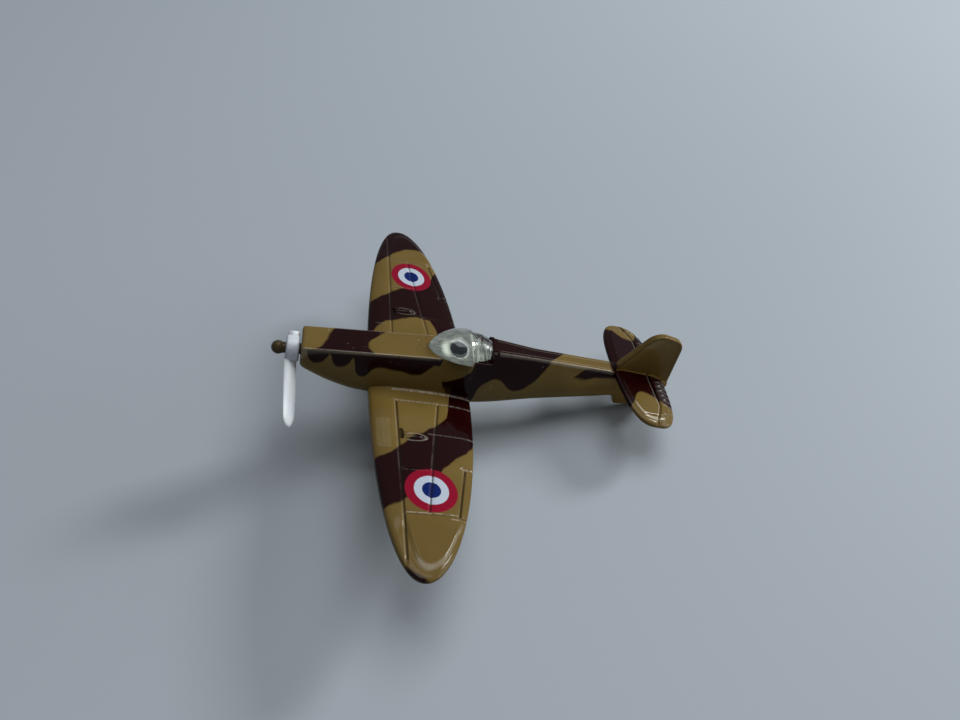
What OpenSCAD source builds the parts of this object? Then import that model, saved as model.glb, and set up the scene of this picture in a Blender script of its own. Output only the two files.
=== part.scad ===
// Small die-cast propeller aeroplane with elliptical wings, standing on three wheels.
// The airframe is laid out level: the propeller's axis is the X axis, the nose points to -X and
// x = 0 lies near the middle of the wings' chord. seated() then sets it down on its wheels,
// with z = 0 at the surface it stands on and the origin under the middle of its bounding box.
// All sizes are in millimetres.

/* [Wings] */
// Span from tip to tip
wing_span = 89.2; // [80:0.2:100]
// Reach of the leading edge ahead of the tips' line, at the centre line
wing_front = 7.6; // [7:0.1:10]
// Reach of the trailing edge behind the tips' line, at the centre line
wing_rear = 12; // [10:0.1:13]
// Place of the tips' line
tip_line_x = -2; // [-3:0.1:-1]
// Depth of the parting line between the castings, under the propeller's axis
parting_depth = 5.3; // [4.8:0.1:5.8]
// Upward slope of each wing
dihedral = 4.4; // [3:0.1:6]
// Downward slope of the wings from leading to trailing edge
incidence = 3; // [1:0.1:4]
// Thickness of the upper wing half at the centre line
upper_root_t = 1.55; // [1.2:0.05:2]
// Thickness of the upper wing half near the tip
upper_tip_t = 1.05; // [0.8:0.05:1.4]
// Thickness of the lower wing half at the centre line
lower_root_t = 1.4; // [1.2:0.05:1.8]
// Thickness of the lower wing half near the tip
lower_tip_t = 0.8; // [0.6:0.05:1.2]
// Gap along the parting line
seam = 0.06; // [0.04:0.01:0.1]

/* [Fuselage] */
// Distance from the datum to the nose face
nose_len = 22; // [20:0.1:24]
// Distance from the datum to the end of the tail
tail_len = 51; // [50:0.1:54]
// Height of the deck over the propeller's axis at the nose
nose_deck_h = 3; // [2.8:0.05:3.3]
// Height of the deck at the canopy
deck_h = 3.5; // [3.3:0.05:3.8]
// Height of the spine behind the canopy
spine_h = 5.3; // [4.8:0.05:5.8]
// Height of the spine a third of the way to the fin
spine_mid_h = 4.2; // [3.9:0.05:4.5]
// Height of the spine at the fin's foot
fin_foot_h = 2.7; // [2.4:0.05:3]
// Height of the end of the tail
tail_end_h = 0.4; // [0.3:0.05:0.6]
// Width of the deck at the nose
deck_w = 6; // [5.6:0.1:6.4]
// Width of the deck at the cockpit
cockpit_w = 7.2; // [6.8:0.1:7.6]
// Width of the deck's shoulders under the canopy
shoulder_w = 8.2; // [7.8:0.1:8.6]
// Width of the hoop behind the canopy
hoop_w = 5.2; // [4.8:0.1:5.6]
// Length of the hoop behind the canopy
hoop_len = 0.6; // [0.5:0.05:0.8]
// Width of the spine's flat top right behind the canopy
spine_front_w = 4; // [3.6:0.1:4.4]
// Width of the spine's flat top
spine_w = 3; // [2.6:0.1:3.4]
// Width of the fuselage at the nose face
nose_w = 6.2; // [5.8:0.1:6.8]
// Greatest width of the fuselage
body_w = 9.4; // [8.8:0.1:10]
// Width of the fuselage at the fin's foot
fin_foot_w = 4.7; // [4.2:0.1:5.2]
// Width of the fuselage at the end of the tail
tail_end_w = 1.8; // [1.4:0.1:2.2]
// Depth of the nose face under the propeller's axis
nose_depth = 2.7; // [2.4:0.1:3]
// Depth of the fuselage's widest line at the wings
waist_depth = 4; // [3.6:0.1:4.4]
// Rounding of the nose face's rim
nose_rim = 0.5; // [0.3:0.05:0.6]
// Depth of the keel under the propeller's axis at the wings
keel_depth = 8.4; // [8:0.1:9]
// Depth of the keel at the fin's foot
tail_depth = 4.9; // [4.6:0.1:5.4]
// Depth of the keel at the end of the tail
tail_end_depth = 1.4; // [1:0.1:1.8]

/* [Tail] */
// Span of the tailplane
stab_span = 28.6; // [26:0.2:32]
// Place of the tailplane's tips' line
stab_x = 43.9; // [43.5:0.1:45]
// Reach of the tailplane ahead of its tips' line
stab_front = 5.6; // [5.4:0.1:6.6]
// Reach of the tailplane behind its tips' line
stab_rear = 5.5; // [5.4:0.1:6.5]
// Height of the tailplane's middle over the propeller's axis
stab_h = 1.4; // [1.1:0.05:1.7]
// Downward slope of the tailplane from leading to trailing edge
stab_slope = 7; // [4:0.5:10]
// Thickness of the tailplane
stab_t = 1.7; // [1.5:0.1:2.2]
// Place of the fin's foot
fin_x = 38; // [37:0.1:39]
// Height of the fin's top over the propeller's axis
fin_h = 11.9; // [11:0.1:14]
// Thickness of the fin
fin_t = 1.7; // [1.4:0.1:2]
// Radius of the fin's front corner
fin_front_r = 3.3; // [2.6:0.1:3.6]
// Radius of the fin's lower corners
fin_foot_r = 0.6; // [0.5:0.05:0.8]
// Radius of the fin's rear corner
fin_rear_r = 2.7; // [2:0.1:3]

/* [Canopy] */
// Place of the canopy's front tip
canopy_x = 0.6; // [0:0.1:1]
// Length of the canopy
canopy_len = 11.6; // [11:0.1:12.4]
// Place of the step to the narrow rear part, from the front tip
canopy_step = 7.9; // [7:0.1:8.5]
// Greatest width of the canopy
canopy_w = 8.9; // [8.4:0.1:9.4]
// Width of the canopy's rear part
canopy_rear_w = 7.2; // [6.8:0.1:7.6]
// Width of the canopy's rear end
canopy_end_w = 5; // [4.6:0.1:5.4]
// Height of the canopy over the deck
canopy_h = 3.5; // [3:0.1:4]
// Height of the canopy's rear end over the deck
canopy_rear_h = 2; // [1.7:0.1:2.2]
// Radius of the locating peg
peg_r = 1.6; // [1.2:0.05:1.8]
// Length of the locating peg under the deck
peg_len = 2.4; // [1.5:0.1:3]

/* [Propeller] */
// Radius of the spindle's neck, which the propeller turns on
neck_r = 1; // [0.8:0.05:1.1]
// Radius of the spindle's ball
ball_r = 1.25; // [1.2:0.05:1.5]
// Radius of the spindle's shank in the nose
shank_r = 1.2; // [1.15:0.05:1.4]
// Length of the spindle's shank in the nose
shank_len = 5; // [3:0.5:8]
// Radius of the propeller's hub
hub_r = 2.4; // [2.1:0.1:2.8]
// Length of the propeller's hub
hub_len = 2.35; // [1.8:0.05:2.6]
// End play of the hub in front, before the ball stops it
end_play = 0.55; // [0.4:0.05:1.2]
// Reach of the blade's tip from the axis
blade_reach = 14; // [13:0.1:17]
// Width of the blade
blade_w = 3.4; // [2.8:0.1:3.8]
// Thickness of the blade at its ridge
blade_t = 1; // [0.8:0.05:1.3]
// Angle between the blade and the propeller's disc
blade_pitch = 38; // [25:1:50]
// Backward lean of the blade
blade_rake = 3.4; // [0:0.2:5]
// Distance that the blade's root sits ahead of the hub's middle
blade_lead = 0.35; // [0.2:0.05:0.45]
// Reach of the short stub opposite the blade
stub_reach = 3; // [2.8:0.1:3.4]
// Angle of the blade below the horizontal, on the left side
blade_angle = 40; // [20:1:70]

/* [Undercarriage] */
// Place of the main wheels' axle
main_axle_x = -3.6; // [-5:0.1:-2]
// Depth of the main wheels' axle under the propeller's axis
main_axle_depth = 16; // [15:0.1:17]
// Distance of each leg from the centre line
leg_y = 9; // [8:0.1:10]
// Radius of the legs at the wing
leg_top_r = 0.95; // [0.9:0.05:1.1]
// Radius of the legs at the axle
leg_foot_r = 0.75; // [0.7:0.05:0.85]
// Radius of the leg's spigot in the wing
spigot_r = 0.6; // [0.5:0.05:0.7]
// Length of the leg's spigot in the wing
spigot_len = 1.1; // [0.9:0.1:1.2]
// Wall of the boss that the leg stands in
boss_wall = 0.5; // [0.4:0.05:0.6]
// Height of the boss that the leg stands in
boss_h = 1.2; // [1:0.1:1.4]
// Depth of the leg's shoulder under the lower wing half
leg_seat = 0.4; // [0.3:0.05:0.5]
// Radius of the eye round the axle
eye_r = 1.15; // [1:0.05:1.3]
// Width of the eye
eye_w = 1.4; // [1.2:0.1:1.8]
// Radius of the main wheels
main_wheel_r = 2.7; // [2.4:0.1:3]
// Width of the main wheels
main_wheel_w = 1.7; // [1.4:0.1:2]
// Radius of the main axles
main_axle_r = 0.45; // [0.4:0.05:0.5]
// Radius of the main axles' heads
axle_head_r = 0.95; // [0.8:0.05:1.1]
// Thickness of the main axles' heads
axle_head_t = 0.4; // [0.3:0.05:0.5]

/* [Tail wheel] */
// Place of the tail wheel's axle
tail_axle_x = 47; // [46.5:0.1:47.5]
// Depth of the tail wheel's axle under the propeller's axis
tail_axle_depth = 5.5; // [5.3:0.1:5.7]
// Radius of the tail wheel
tail_wheel_r = 1.6; // [1.4:0.1:1.7]
// Width of the tail wheel
tail_wheel_w = 1.1; // [0.9:0.1:1.3]
// Radius of the tail axle
tail_axle_r = 0.35; // [0.3:0.05:0.4]
// Thickness of each cheek beside the tail wheel
cheek_t = 0.6; // [0.5:0.05:0.8]
// Place of the tail block's front
block_x = 39.6; // [39:0.1:41]
// Depth of the tail block's flat underside
block_depth = 6.2; // [6:0.1:6.4]

/* [Rivets] */
// Place of the front rivet
front_rivet_x = -7; // [-8:0.1:-6]
// Place of the rear rivet
rear_rivet_x = 6.4; // [5.5:0.1:7]
// Radius of the rivets' shanks
rivet_r = 0.9; // [0.7:0.05:1]
// Radius of the rivets' heads
rivet_head_r = 1.5; // [1.3:0.05:1.7]
// Thickness of the rivets' heads
rivet_head_t = 0.5; // [0.4:0.05:0.6]
// Length of the rivets' shanks
rivet_len = 6; // [5:0.1:7]
// Length of the flat pad on the belly
pad_len = 8; // [6:0.5:9]
// Depth that the flat pad is cut into the keel
pad_cut = 0.35; // [0.3:0.05:0.5]
// Reach of the belly past the wings' edges
belly_lap = 0.3; // [0.1:0.05:0.5]

/* [Fits] */
// Radial clearance of everything that turns
running = 0.06; // [0.03:0.01:0.1]
// Radial clearance of everything that is pressed or staked in
pressed = 0.01; // [0.01:0.005:0.03]
// Space beside everything that turns
side_gap = 0.25; // [0.15:0.05:0.3]

/* [Hidden] */
$fn = 48;

tan_paint = "#8a7638";
clear = [0.75, 0.78, 0.7, 0.5];

half_span = wing_span / 2;
tip_edge = 0.35; // half the length of the straight edge at a tip
arch_power = 2.4; // squareness of the wings' section
crown_shift = 0.75; // moves the wings' thickest line forward

canopy_end = canopy_x + canopy_len;
spine_x = canopy_end + side_gap;
spine_step = 0.05; // length of the steep faces before and behind the hoop
hoop_end = spine_x + spine_step + hoop_len;
shoulder_x = [for (s = [0.3, 0.65, 1, 1.1]) canopy_x + s * canopy_step];
peg_x = canopy_x + 0.49 * canopy_len;

// Sections of the fuselage: place, half width at the waist, height of the waist, height of the keel.
// Each share runs from the first to the second of the named sizes that its section lies between.
sections = [
    [-nose_len, nose_w / 2, -0.08 * waist_depth, -nose_depth],
    for (s = [[0.92, 0.2, 0.2, 0.21], [0.75, 0.5, 0.5, 0.54], [0.52, 0.84, 0.78, 0.79]])
        [-s[0] * nose_len, blend(nose_w, body_w, s[1]) / 2, -s[2] * waist_depth,
            -blend(nose_depth, keel_depth, s[3])],
    [tip_line_x + wing_rear / 3, body_w / 2, -waist_depth, -keel_depth],
    [canopy_end, blend(body_w, fin_foot_w, 0.17) / 2, -waist_depth, -keel_depth],
    [blend(canopy_end, fin_x, 0.43), blend(body_w, fin_foot_w, 0.53) / 2, -0.68 * waist_depth,
        -mid(keel_depth, tail_depth)],
    [fin_x, fin_foot_w / 2, -0.3 * waist_depth, -tail_depth],
    [blend(fin_x, tail_len, 0.59), blend(fin_foot_w, tail_end_w, 0.4) / 2, -0.2 * waist_depth,
        -blend(tail_depth, tail_end_depth, 0.46)],
    [tail_len, tail_end_w / 2, -0.08 * waist_depth, -tail_end_depth],
];
// Deck: place, height, half width
deck = [
    [-nose_len, nose_deck_h, deck_w / 2],
    [0, deck_h, blend(deck_w, cockpit_w, 0.25) / 2],
    [shoulder_x[0], deck_h, blend(deck_w, cockpit_w, 0.45) / 2],
    [shoulder_x[2], deck_h, shoulder_w / 2],
    [shoulder_x[3], deck_h, cockpit_w / 2],
    [spine_x, deck_h, cockpit_w / 2],
    [spine_x + spine_step, spine_h, hoop_w / 2],
    [hoop_end, spine_h, hoop_w / 2],
    [hoop_end + spine_step, spine_h, spine_front_w / 2],
    [blend(spine_x, fin_x, 0.36), spine_mid_h, spine_w / 2],
    [fin_x, fin_foot_h, spine_w / 2],
    [blend(fin_x, tail_len, 0.59), stab_h + 0.2 * stab_t, blend(spine_w, tail_end_w, 0.33) / 2],
    [tail_len, tail_end_h, 0.4 * tail_end_w],
];

belly_front = tip_line_x - wing_front - belly_lap;
belly_rear = tip_line_x + wing_rear + belly_lap;
keel_z = section_value(mid(front_rivet_x, rear_rivet_x), 3);

hub_x = -nose_len - side_gap - hub_len;
ball_x = hub_x - end_play - sqrt(pow(ball_r, 2) - pow(neck_r, 2));

seat_z = parting_z(main_axle_x, leg_y) - lower_root_t - leg_seat; // shoulder of each leg
wheel_y = leg_y + eye_w / 2 + side_gap;
block_w = tail_wheel_w + 2 * side_gap + 2 * cheek_t;

// Attitude on the ground: the line that touches the main and tail wheels from below
axle_dx = tail_axle_x - main_axle_x;
axle_dz = main_axle_depth - tail_axle_depth;
stance = atan2(axle_dz, axle_dx) + asin((main_wheel_r - tail_wheel_r) / norm([axle_dx, axle_dz]));
ride_h = main_axle_depth * cos(stance) + main_axle_x * sin(stance) + main_wheel_r;

// Fin corners: place, height, radius
fin_front_c = [0.9 * tail_len, fin_h - fin_front_r, fin_front_r];
fin_rear_c = [0.987 * tail_len - fin_rear_r, 0.96 * fin_h - fin_rear_r, fin_rear_r];

// Middle of the standing model's length, from its ball to its rudder
front_reach = ball_x * cos(stance) - ball_r;
rear_reach = fin_rear_c.x * cos(stance) + fin_rear_c.y * sin(stance) + fin_rear_r;
origin_x = (front_reach + rear_reach) / 2;

// ---- Functions ----

function mid(a, b) = (a + b) / 2;
function blend(a, b, t) = a + (b - a) * t;

// Height of a rounded outline at t, which runs from 0 in the middle to 1 at the end
function oval(t, power) = pow(max(0, 1 - pow(abs(t), power)), 1 / power);

// Parting surface of the two castings
function parting_z(x, y) = -parting_depth + abs(y) * tan(dihedral) - (x - tip_line_x) * tan(incidence);

// Smooth value of a column of the sections at x
function segment(x, i = 0) = i >= len(sections) - 2 || x < sections[i + 1].x ? i : segment(x, i + 1);
function slope(i, col) =
    let (a = sections[max(i - 1, 0)], b = sections[min(i + 1, len(sections) - 1)])
    (b[col] - a[col]) / (b.x - a.x);
function section_value(x, col) =
    let (i = segment(x), a = sections[i], b = sections[i + 1], w = b.x - a.x, t = (x - a.x) / w)
    (2 * pow(t, 3) - 3 * pow(t, 2) + 1) * a[col] + (pow(t, 3) - 2 * pow(t, 2) + t) * w * slope(i, col)
    + (3 * pow(t, 2) - 2 * pow(t, 3)) * b[col] + (pow(t, 3) - pow(t, 2)) * w * slope(i + 1, col);
function deck_value(x, col) = lookup(x, [for (d = deck) [d.x, d[col]]]);

// One half of a fuselage ring, from the deck's edge to the keel, drawn in by inset
side_steps = 4;
keel_steps = 7;
function half_ring(x, inset) =
    let (
        top = deck_value(x, 1) - inset, edge = deck_value(x, 2) - inset,
        side = section_value(x, 1) - inset, side_z = section_value(x, 2),
        keel = section_value(x, 3) + inset
    )
    concat(
        [for (i = [0:side_steps - 1]) let (t = i / side_steps)
            [blend(edge, side, sin(90 * t)), blend(top, side_z, t)]],
        [for (i = [0:keel_steps]) let (a = 90 * i / keel_steps)
            [side * cos(a), side_z - (side_z - keel) * sin(a)]]
    );
function body_ring(x, inset = 0) =
    let (half = half_ring(x, inset), n = len(half))
    concat(
        [for (p = half) [x, p.x, p.y]],
        [for (i = [n - 2:-1:0]) [x, -half[i].x, half[i].y]]
    );

// Ring of a flying surface at y: its chord runs from front to rear, and h(c) is its height
chord_steps = 12;
function chord_part(i) = (1 - cos(180 * i / chord_steps)) / 2;
function wing_arch(c) = oval(2 * pow(c, crown_shift) - 1, arch_power);
function wing_front_x(y) = tip_line_x - max(tip_edge, wing_front * oval(y / half_span, 2.35));
function wing_rear_x(y) = tip_line_x + max(tip_edge, wing_rear * oval(y / half_span, 1.85));
function wing_thickness(y, root_t, tip_t) =
    blend(root_t, tip_t, pow(abs(y) / half_span, 1.5)) * max(0.35, oval(y / half_span, 9));
function wing_ring(y, root_t, tip_t, side) =
    let (a = wing_front_x(y), b = wing_rear_x(y), t = wing_thickness(y, root_t, tip_t))
    [for (i = [0:chord_steps]) let (c = chord_part(i), x = blend(a, b, c))
        [x, y, parting_z(x, y) + side * (seam / 2 + t * wing_arch(c))]];

stab_half = stab_span / 2;
function stab_ring(y) =
    let (
        a = stab_x - max(tip_edge, stab_front * oval(y / stab_half, 2.9)),
        b = stab_x + max(tip_edge, stab_rear * oval(y / stab_half, 2.9)),
        t = stab_t / 2 * max(0.4, oval(y / stab_half, 6)), n = 8
    )
    [for (i = [0:2 * n - 1])
        let (
            u = -180 * i / n,
            x = blend(a, b, (1 - cos(u)) / 2),
            middle = stab_h - (x - stab_x) * tan(stab_slope)
        )
        [x, y, middle + sign(sin(u)) * t * pow(abs(sin(u)), 0.6)]];

// Stations across a span, closer together towards the tips
function stations(half, n) = [for (i = [-n:n]) half * sin(90 * i / n)];

// Half width and height of the canopy at x
bubble_peak = canopy_x + 0.507 * canopy_len;
function canopy_half_w(x) =
    x < canopy_x + canopy_step
    ? canopy_w / 2 * pow(max(0.02, 1 - pow((canopy_x + canopy_step - x) / canopy_step, 2)), 0.6)
    : blend(canopy_rear_w, canopy_end_w, (x - canopy_x - canopy_step) / (canopy_len - canopy_step)) / 2;
function canopy_top(x) =
    x < bubble_peak
    ? canopy_h * pow(max(0.02, 1 - pow((bubble_peak - x) / (bubble_peak - canopy_x), 2)), 0.65)
    : blend(canopy_h, canopy_rear_h, pow((x - bubble_peak) / (canopy_end - bubble_peak), 1.5));
function canopy_ring(x) =
    let (w = canopy_half_w(x), h = canopy_top(x), n = 10)
    [for (i = [0:n]) let (a = 180 * i / n) [x, -w * cos(a), deck_h + seam / 2 + h * pow(sin(a), 0.9)]];

// ---- Shared modules ----

// Solid through rings that all have as many points
module loft(rings) {
    n = len(rings[0]);
    last = len(rings) - 1;
    polyhedron(
        points = [for (r = rings) each r],
        faces = concat(
            [[for (i = [n - 1:-1:0]) i]],
            [for (r = [0:last - 1], i = [0:n - 1]) let (j = (i + 1) % n)
                [r * n + i, r * n + j, (r + 1) * n + i]],
            [for (r = [0:last - 1], i = [0:n - 1]) let (j = (i + 1) % n)
                [r * n + j, (r + 1) * n + j, (r + 1) * n + i]],
            [[for (i = [0:n - 1]) last * n + i]]
        )
    );
}

// Round bar along X or Y, from the point p towards +X or +Y
module bar_x(p, r, h) { translate(p) rotate([0, 90, 0]) cylinder(r = r, h = h); }
module bar_y(p, r, h) { translate(p) rotate([-90, 0, 0]) cylinder(r = r, h = h); }

// Plate across Y with rounded rims, round a corner of the fin
module fin_corner(c, rim = 0.4) {
    bar_y([c.x, -fin_t / 2 + rim, c.y], c[2], fin_t - 2 * rim);
    bar_y([c.x, -fin_t / 2, c.y], c[2] - rim, fin_t);
}

// Sets the level airframe down on its wheels
module seated() { translate([-origin_x, 0, ride_h]) rotate([0, stance, 0]) children(); }

module mirrored(side) { if (side < 0) children(); else mirror([0, 1, 0]) children(); }

module fuselage_form() {
    front = concat([for (i = [1:9]) blend(-nose_len, 0, i / 9)], shoulder_x, [spine_x]);
    tail = [for (i = [0:16]) blend(hoop_end + spine_step, tail_len, i / 16)];
    rear = concat([spine_x + spine_step, hoop_end], tail);
    loft(concat(
        [body_ring(-nose_len, nose_rim), body_ring(-nose_len + nose_rim)],
        [for (x = concat(front, rear)) body_ring(x)]
    ));
}

// Everything under the parting surface between two places along the body
module below_parting(x0, x1, drop) {
    reach = half_span;
    depth = 3 * keel_depth;
    rise = reach * tan(dihedral);
    translate([tip_line_x, 0, -parting_depth - drop]) rotate([0, incidence, 0])
    translate([x0 - tip_line_x, 0, 0]) rotate([90, 0, 90]) linear_extrude(x1 - x0)
        polygon([[-reach, rise], [0, 0], [reach, rise], [reach, -depth], [-reach, -depth]]);
}

module wing_half(root_t, tip_t, side) {
    loft([for (y = stations(-side * half_span, 12)) wing_ring(y, root_t, tip_t, side)]);
}

module rivet_shanks(r, h) {
    for (x = [front_rivet_x, rear_rivet_x]) translate([x, 0, keel_z + rivet_head_t]) cylinder(r = r, h = h);
}

module tail_block() {
    top = -0.4 * tail_depth;
    corner = 0.3 * tail_depth;
    rear = tail_axle_x + 2 * tail_axle_r;
    translate([0, block_w / 2, 0]) rotate([90, 0, 0]) linear_extrude(block_w)
        polygon([
            [block_x, top], [block_x, corner - block_depth], [block_x + corner, -block_depth],
            [rear, -block_depth], [rear + tail_axle_r, top],
        ]);
}

module leg() {
    strut_h = main_axle_depth + seat_z;
    translate([main_axle_x, -leg_y, seat_z]) cylinder(r = spigot_r, h = spigot_len);
    translate([main_axle_x, -leg_y, -main_axle_depth]) difference() {
        union() {
            cylinder(r1 = leg_foot_r, r2 = leg_top_r, h = strut_h);
            bar_y([0, -eye_w / 2, 0], eye_r, eye_w);
        }
        bar_y([0, -eye_w, 0], main_axle_r + pressed, 2 * eye_w);
    }
}

module axle_pin() {
    head_y = -wheel_y - main_wheel_w - side_gap;
    translate([main_axle_x, 0, -main_axle_depth]) {
        bar_y([0, head_y, 0], main_axle_r, -leg_y + eye_w / 2 - head_y);
        bar_y([0, head_y - axle_head_t, 0], axle_head_r, axle_head_t);
    }
}

// Wheel across Y with a rounded tyre and a raised boss, its inner face at y
module wheel(p, r, w, bore_r) {
    rim = w / 4;
    translate(p) rotate([90, 0, 0]) difference() {
        rotate_extrude() polygon([
            [0, 0], [r - rim, 0], [r - rim / 3, rim / 3],
            [r, rim], [r, w - rim], [r - rim / 3, w - rim / 3],
            [r - rim, w], [r * 0.62, w], [r * 0.62, w - rim / 2],
            [r * 0.4, w - rim / 2], [r * 0.4, w], [0, w],
        ]);
        translate([0, 0, -w]) cylinder(r = bore_r, h = 3 * w);
    }
}

// ---- Pieces ----

module upper_casting() {
    slot_w = tail_wheel_w + 2 * side_gap;
    color(tan_paint) seated() difference() {
        union() {
            difference() {
                fuselage_form();
                below_parting(belly_front, belly_rear, -seam / 2 - 0.02);
            }
            wing_half(upper_root_t, upper_tip_t, 1);
            loft([for (y = stations(stab_half, 9)) stab_ring(y)]);
            hull() {
                fin_corner(fin_front_c);
                fin_corner(fin_rear_c);
                fin_corner([fin_x + fin_foot_r, fin_foot_h - 2 * fin_foot_r, fin_foot_r]);
                fin_corner([tail_len - fin_foot_r + tip_edge / 3, -fin_foot_r / 3, fin_foot_r]);
            }
            tail_block();
        }
        bar_x([-nose_len - shank_r, 0, 0], shank_r + pressed, shank_len + shank_r);
        translate([peg_x, 0, deck_h - peg_len - side_gap]) cylinder(r = peg_r + pressed, h = 2 * peg_len);
        rivet_shanks(rivet_r + pressed, rivet_len + side_gap);
        translate([tail_axle_x - tail_wheel_r - side_gap, -slot_w / 2, -tail_axle_depth - 2 * tail_wheel_r])
            cube([5 * tail_wheel_r, slot_w, 3 * tail_wheel_r + side_gap]);
        bar_y([tail_axle_x, -block_w, -tail_axle_depth], tail_axle_r + pressed, 2 * block_w);
    }
}

module lower_casting() {
    color(tan_paint) seated() difference() {
        union() {
            wing_half(lower_root_t, lower_tip_t, -1);
            intersection() {
                fuselage_form();
                below_parting(belly_front + seam, belly_rear - seam, seam / 2 + 0.02);
            }
            for (side = [-1, 1]) translate([main_axle_x, side * leg_y, seat_z])
                cylinder(r = leg_top_r + boss_wall, h = boss_h);
        }
        for (side = [-1, 1]) translate([main_axle_x, side * leg_y, seat_z - boss_h])
            cylinder(r = spigot_r + pressed, h = spigot_len + boss_h + side_gap);
        rivet_shanks(rivet_r + pressed, rivet_len);
        for (x = [front_rivet_x, rear_rivet_x]) translate([x, 0, keel_z - keel_depth])
            cylinder(r = rivet_head_r + pressed, h = keel_depth + rivet_head_t);
        translate([mid(front_rivet_x, rear_rivet_x) - pad_len / 2, -body_w / 2, keel_z - keel_depth])
            cube([pad_len, body_w, keel_depth + pad_cut]);
    }
}

module casting_rivets() {
    color("silver") seated() {
        rivet_shanks(rivet_r, rivet_len);
        for (x = [front_rivet_x, rear_rivet_x]) translate([x, 0, keel_z + rivet_head_t]) mirror([0, 0, 1])
            cylinder(r1 = rivet_head_r, r2 = rivet_head_r - 0.3, h = rivet_head_t);
    }
}

module canopy() {
    x1 = canopy_x + canopy_step;
    xs = concat(
        [for (i = [0:12]) blend(canopy_x, x1 - 0.01, i / 12)],
        [for (i = [0:6]) blend(x1 + 0.15, canopy_end, i / 6)]
    );
    color(clear) seated() {
        loft([for (x = xs) canopy_ring(x)]);
        translate([peg_x, 0, deck_h - peg_len]) cylinder(r = peg_r, h = peg_len + 0.5);
    }
}

module propeller_spindle() {
    color(tan_paint) seated() {
        bar_x([-nose_len, 0, 0], shank_r, shank_len);
        bar_x([ball_x, 0, 0], neck_r, -nose_len - ball_x);
        translate([ball_x, 0, 0]) sphere(r = ball_r);
    }
}

module blade_slab(r, w) {
    translate([r * tan(blade_rake) - blade_lead, 0, r]) rotate([0, 0, blade_pitch]) linear_extrude(0.1)
        polygon([[-blade_t / 2, 0], [0, w / 2], [blade_t / 2, 0], [0, -w / 2]]);
}

module propeller() {
    color("white") seated() translate([hub_x, 0, 0]) difference() {
        union() {
            bar_x([0, 0, 0], hub_r, hub_len);
            translate([hub_len / 2, 0, 0]) rotate([90 + blade_angle, 0, 0]) {
                hull() {
                    blade_slab(hub_r - 0.7, blade_w * 0.84);
                    blade_slab(blade_reach / 2, blade_w);
                    blade_slab(0.79 * blade_reach, blade_w * 0.93);
                    blade_slab(0.91 * blade_reach, blade_w * 0.62);
                    blade_slab(blade_reach - 0.1, blade_w * 0.12);
                }
                translate([0, 0, -stub_reach]) cylinder(r = hub_len / 2 - 0.1, h = stub_reach);
            }
        }
        bar_x([-hub_len, 0, 0], neck_r + running, 3 * hub_len);
    }
}

module left_leg() { color(tan_paint) seated() mirrored(-1) leg(); }

module right_leg() { color(tan_paint) seated() mirrored(1) leg(); }

module left_axle() { color("silver") seated() mirrored(-1) axle_pin(); }

module right_axle() { color("silver") seated() mirrored(1) axle_pin(); }

module main_wheel(side) {
    mirrored(side) wheel([main_axle_x, -wheel_y, -main_axle_depth], main_wheel_r, main_wheel_w,
        main_axle_r + running);
}

module left_wheel() { color("black") seated() main_wheel(-1); }

module right_wheel() { color("black") seated() main_wheel(1); }

module tail_wheel() {
    color("black") seated() wheel([tail_axle_x, tail_wheel_w / 2, -tail_axle_depth], tail_wheel_r,
        tail_wheel_w, tail_axle_r + running);
}

module tail_axle() {
    color("silver") seated()
        bar_y([tail_axle_x, -block_w / 2, -tail_axle_depth], tail_axle_r, block_w);
}

upper_casting();
lower_casting();
casting_rivets();
canopy();
propeller_spindle();
propeller();
left_leg();
right_leg();
left_axle();
right_axle();
left_wheel();
right_wheel();
tail_wheel();
tail_axle();
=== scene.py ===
"""Dressed model of a small die-cast propeller aeroplane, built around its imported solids."""
import sys
import logging
import math
from dataclasses import dataclass
from enum import Enum
from typing import Callable, Sequence, Union

import bpy
import numpy as np
from mathutils import Matrix, Vector


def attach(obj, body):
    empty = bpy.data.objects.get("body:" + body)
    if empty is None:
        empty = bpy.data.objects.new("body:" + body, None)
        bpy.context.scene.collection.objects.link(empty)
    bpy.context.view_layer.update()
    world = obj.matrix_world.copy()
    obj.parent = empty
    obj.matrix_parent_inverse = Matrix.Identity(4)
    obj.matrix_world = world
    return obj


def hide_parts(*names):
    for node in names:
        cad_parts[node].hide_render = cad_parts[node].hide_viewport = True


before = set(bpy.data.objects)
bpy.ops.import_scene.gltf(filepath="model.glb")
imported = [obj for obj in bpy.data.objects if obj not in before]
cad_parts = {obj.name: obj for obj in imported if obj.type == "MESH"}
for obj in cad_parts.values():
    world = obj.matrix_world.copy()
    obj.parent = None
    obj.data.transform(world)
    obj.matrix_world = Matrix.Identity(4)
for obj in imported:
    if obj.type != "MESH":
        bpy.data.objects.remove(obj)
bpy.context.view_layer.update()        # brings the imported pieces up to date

MM = 0.001
TINY = 1e-6                     # lengths and ranges below this count as none
SEAM_GAP = 1e-4                 # points closer than this are one point
MIX_COLOUR_INPUTS = (0, 6, 7)   # share and two colours, among the Mix node's sockets
MIX_COLOUR_OUTPUT = 2           # the mixed colour, among the same node's outputs
PEG_X = 6.284                   # place of the canopy's peg along the level airframe
log = logging.getLogger("plane")

Points = np.ndarray
Place = Callable[[np.ndarray, np.ndarray, np.ndarray], Points]
Piece = bpy.types.Object
Colour = tuple[float, float, float]
Spot = tuple[float, float, float]
Outline = tuple[tuple[float, float], ...]
Run = tuple[tuple[float, float], tuple[float, float]]


# ---- Measures shared by the pieces, in millimetres, on the level airframe ----

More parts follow.
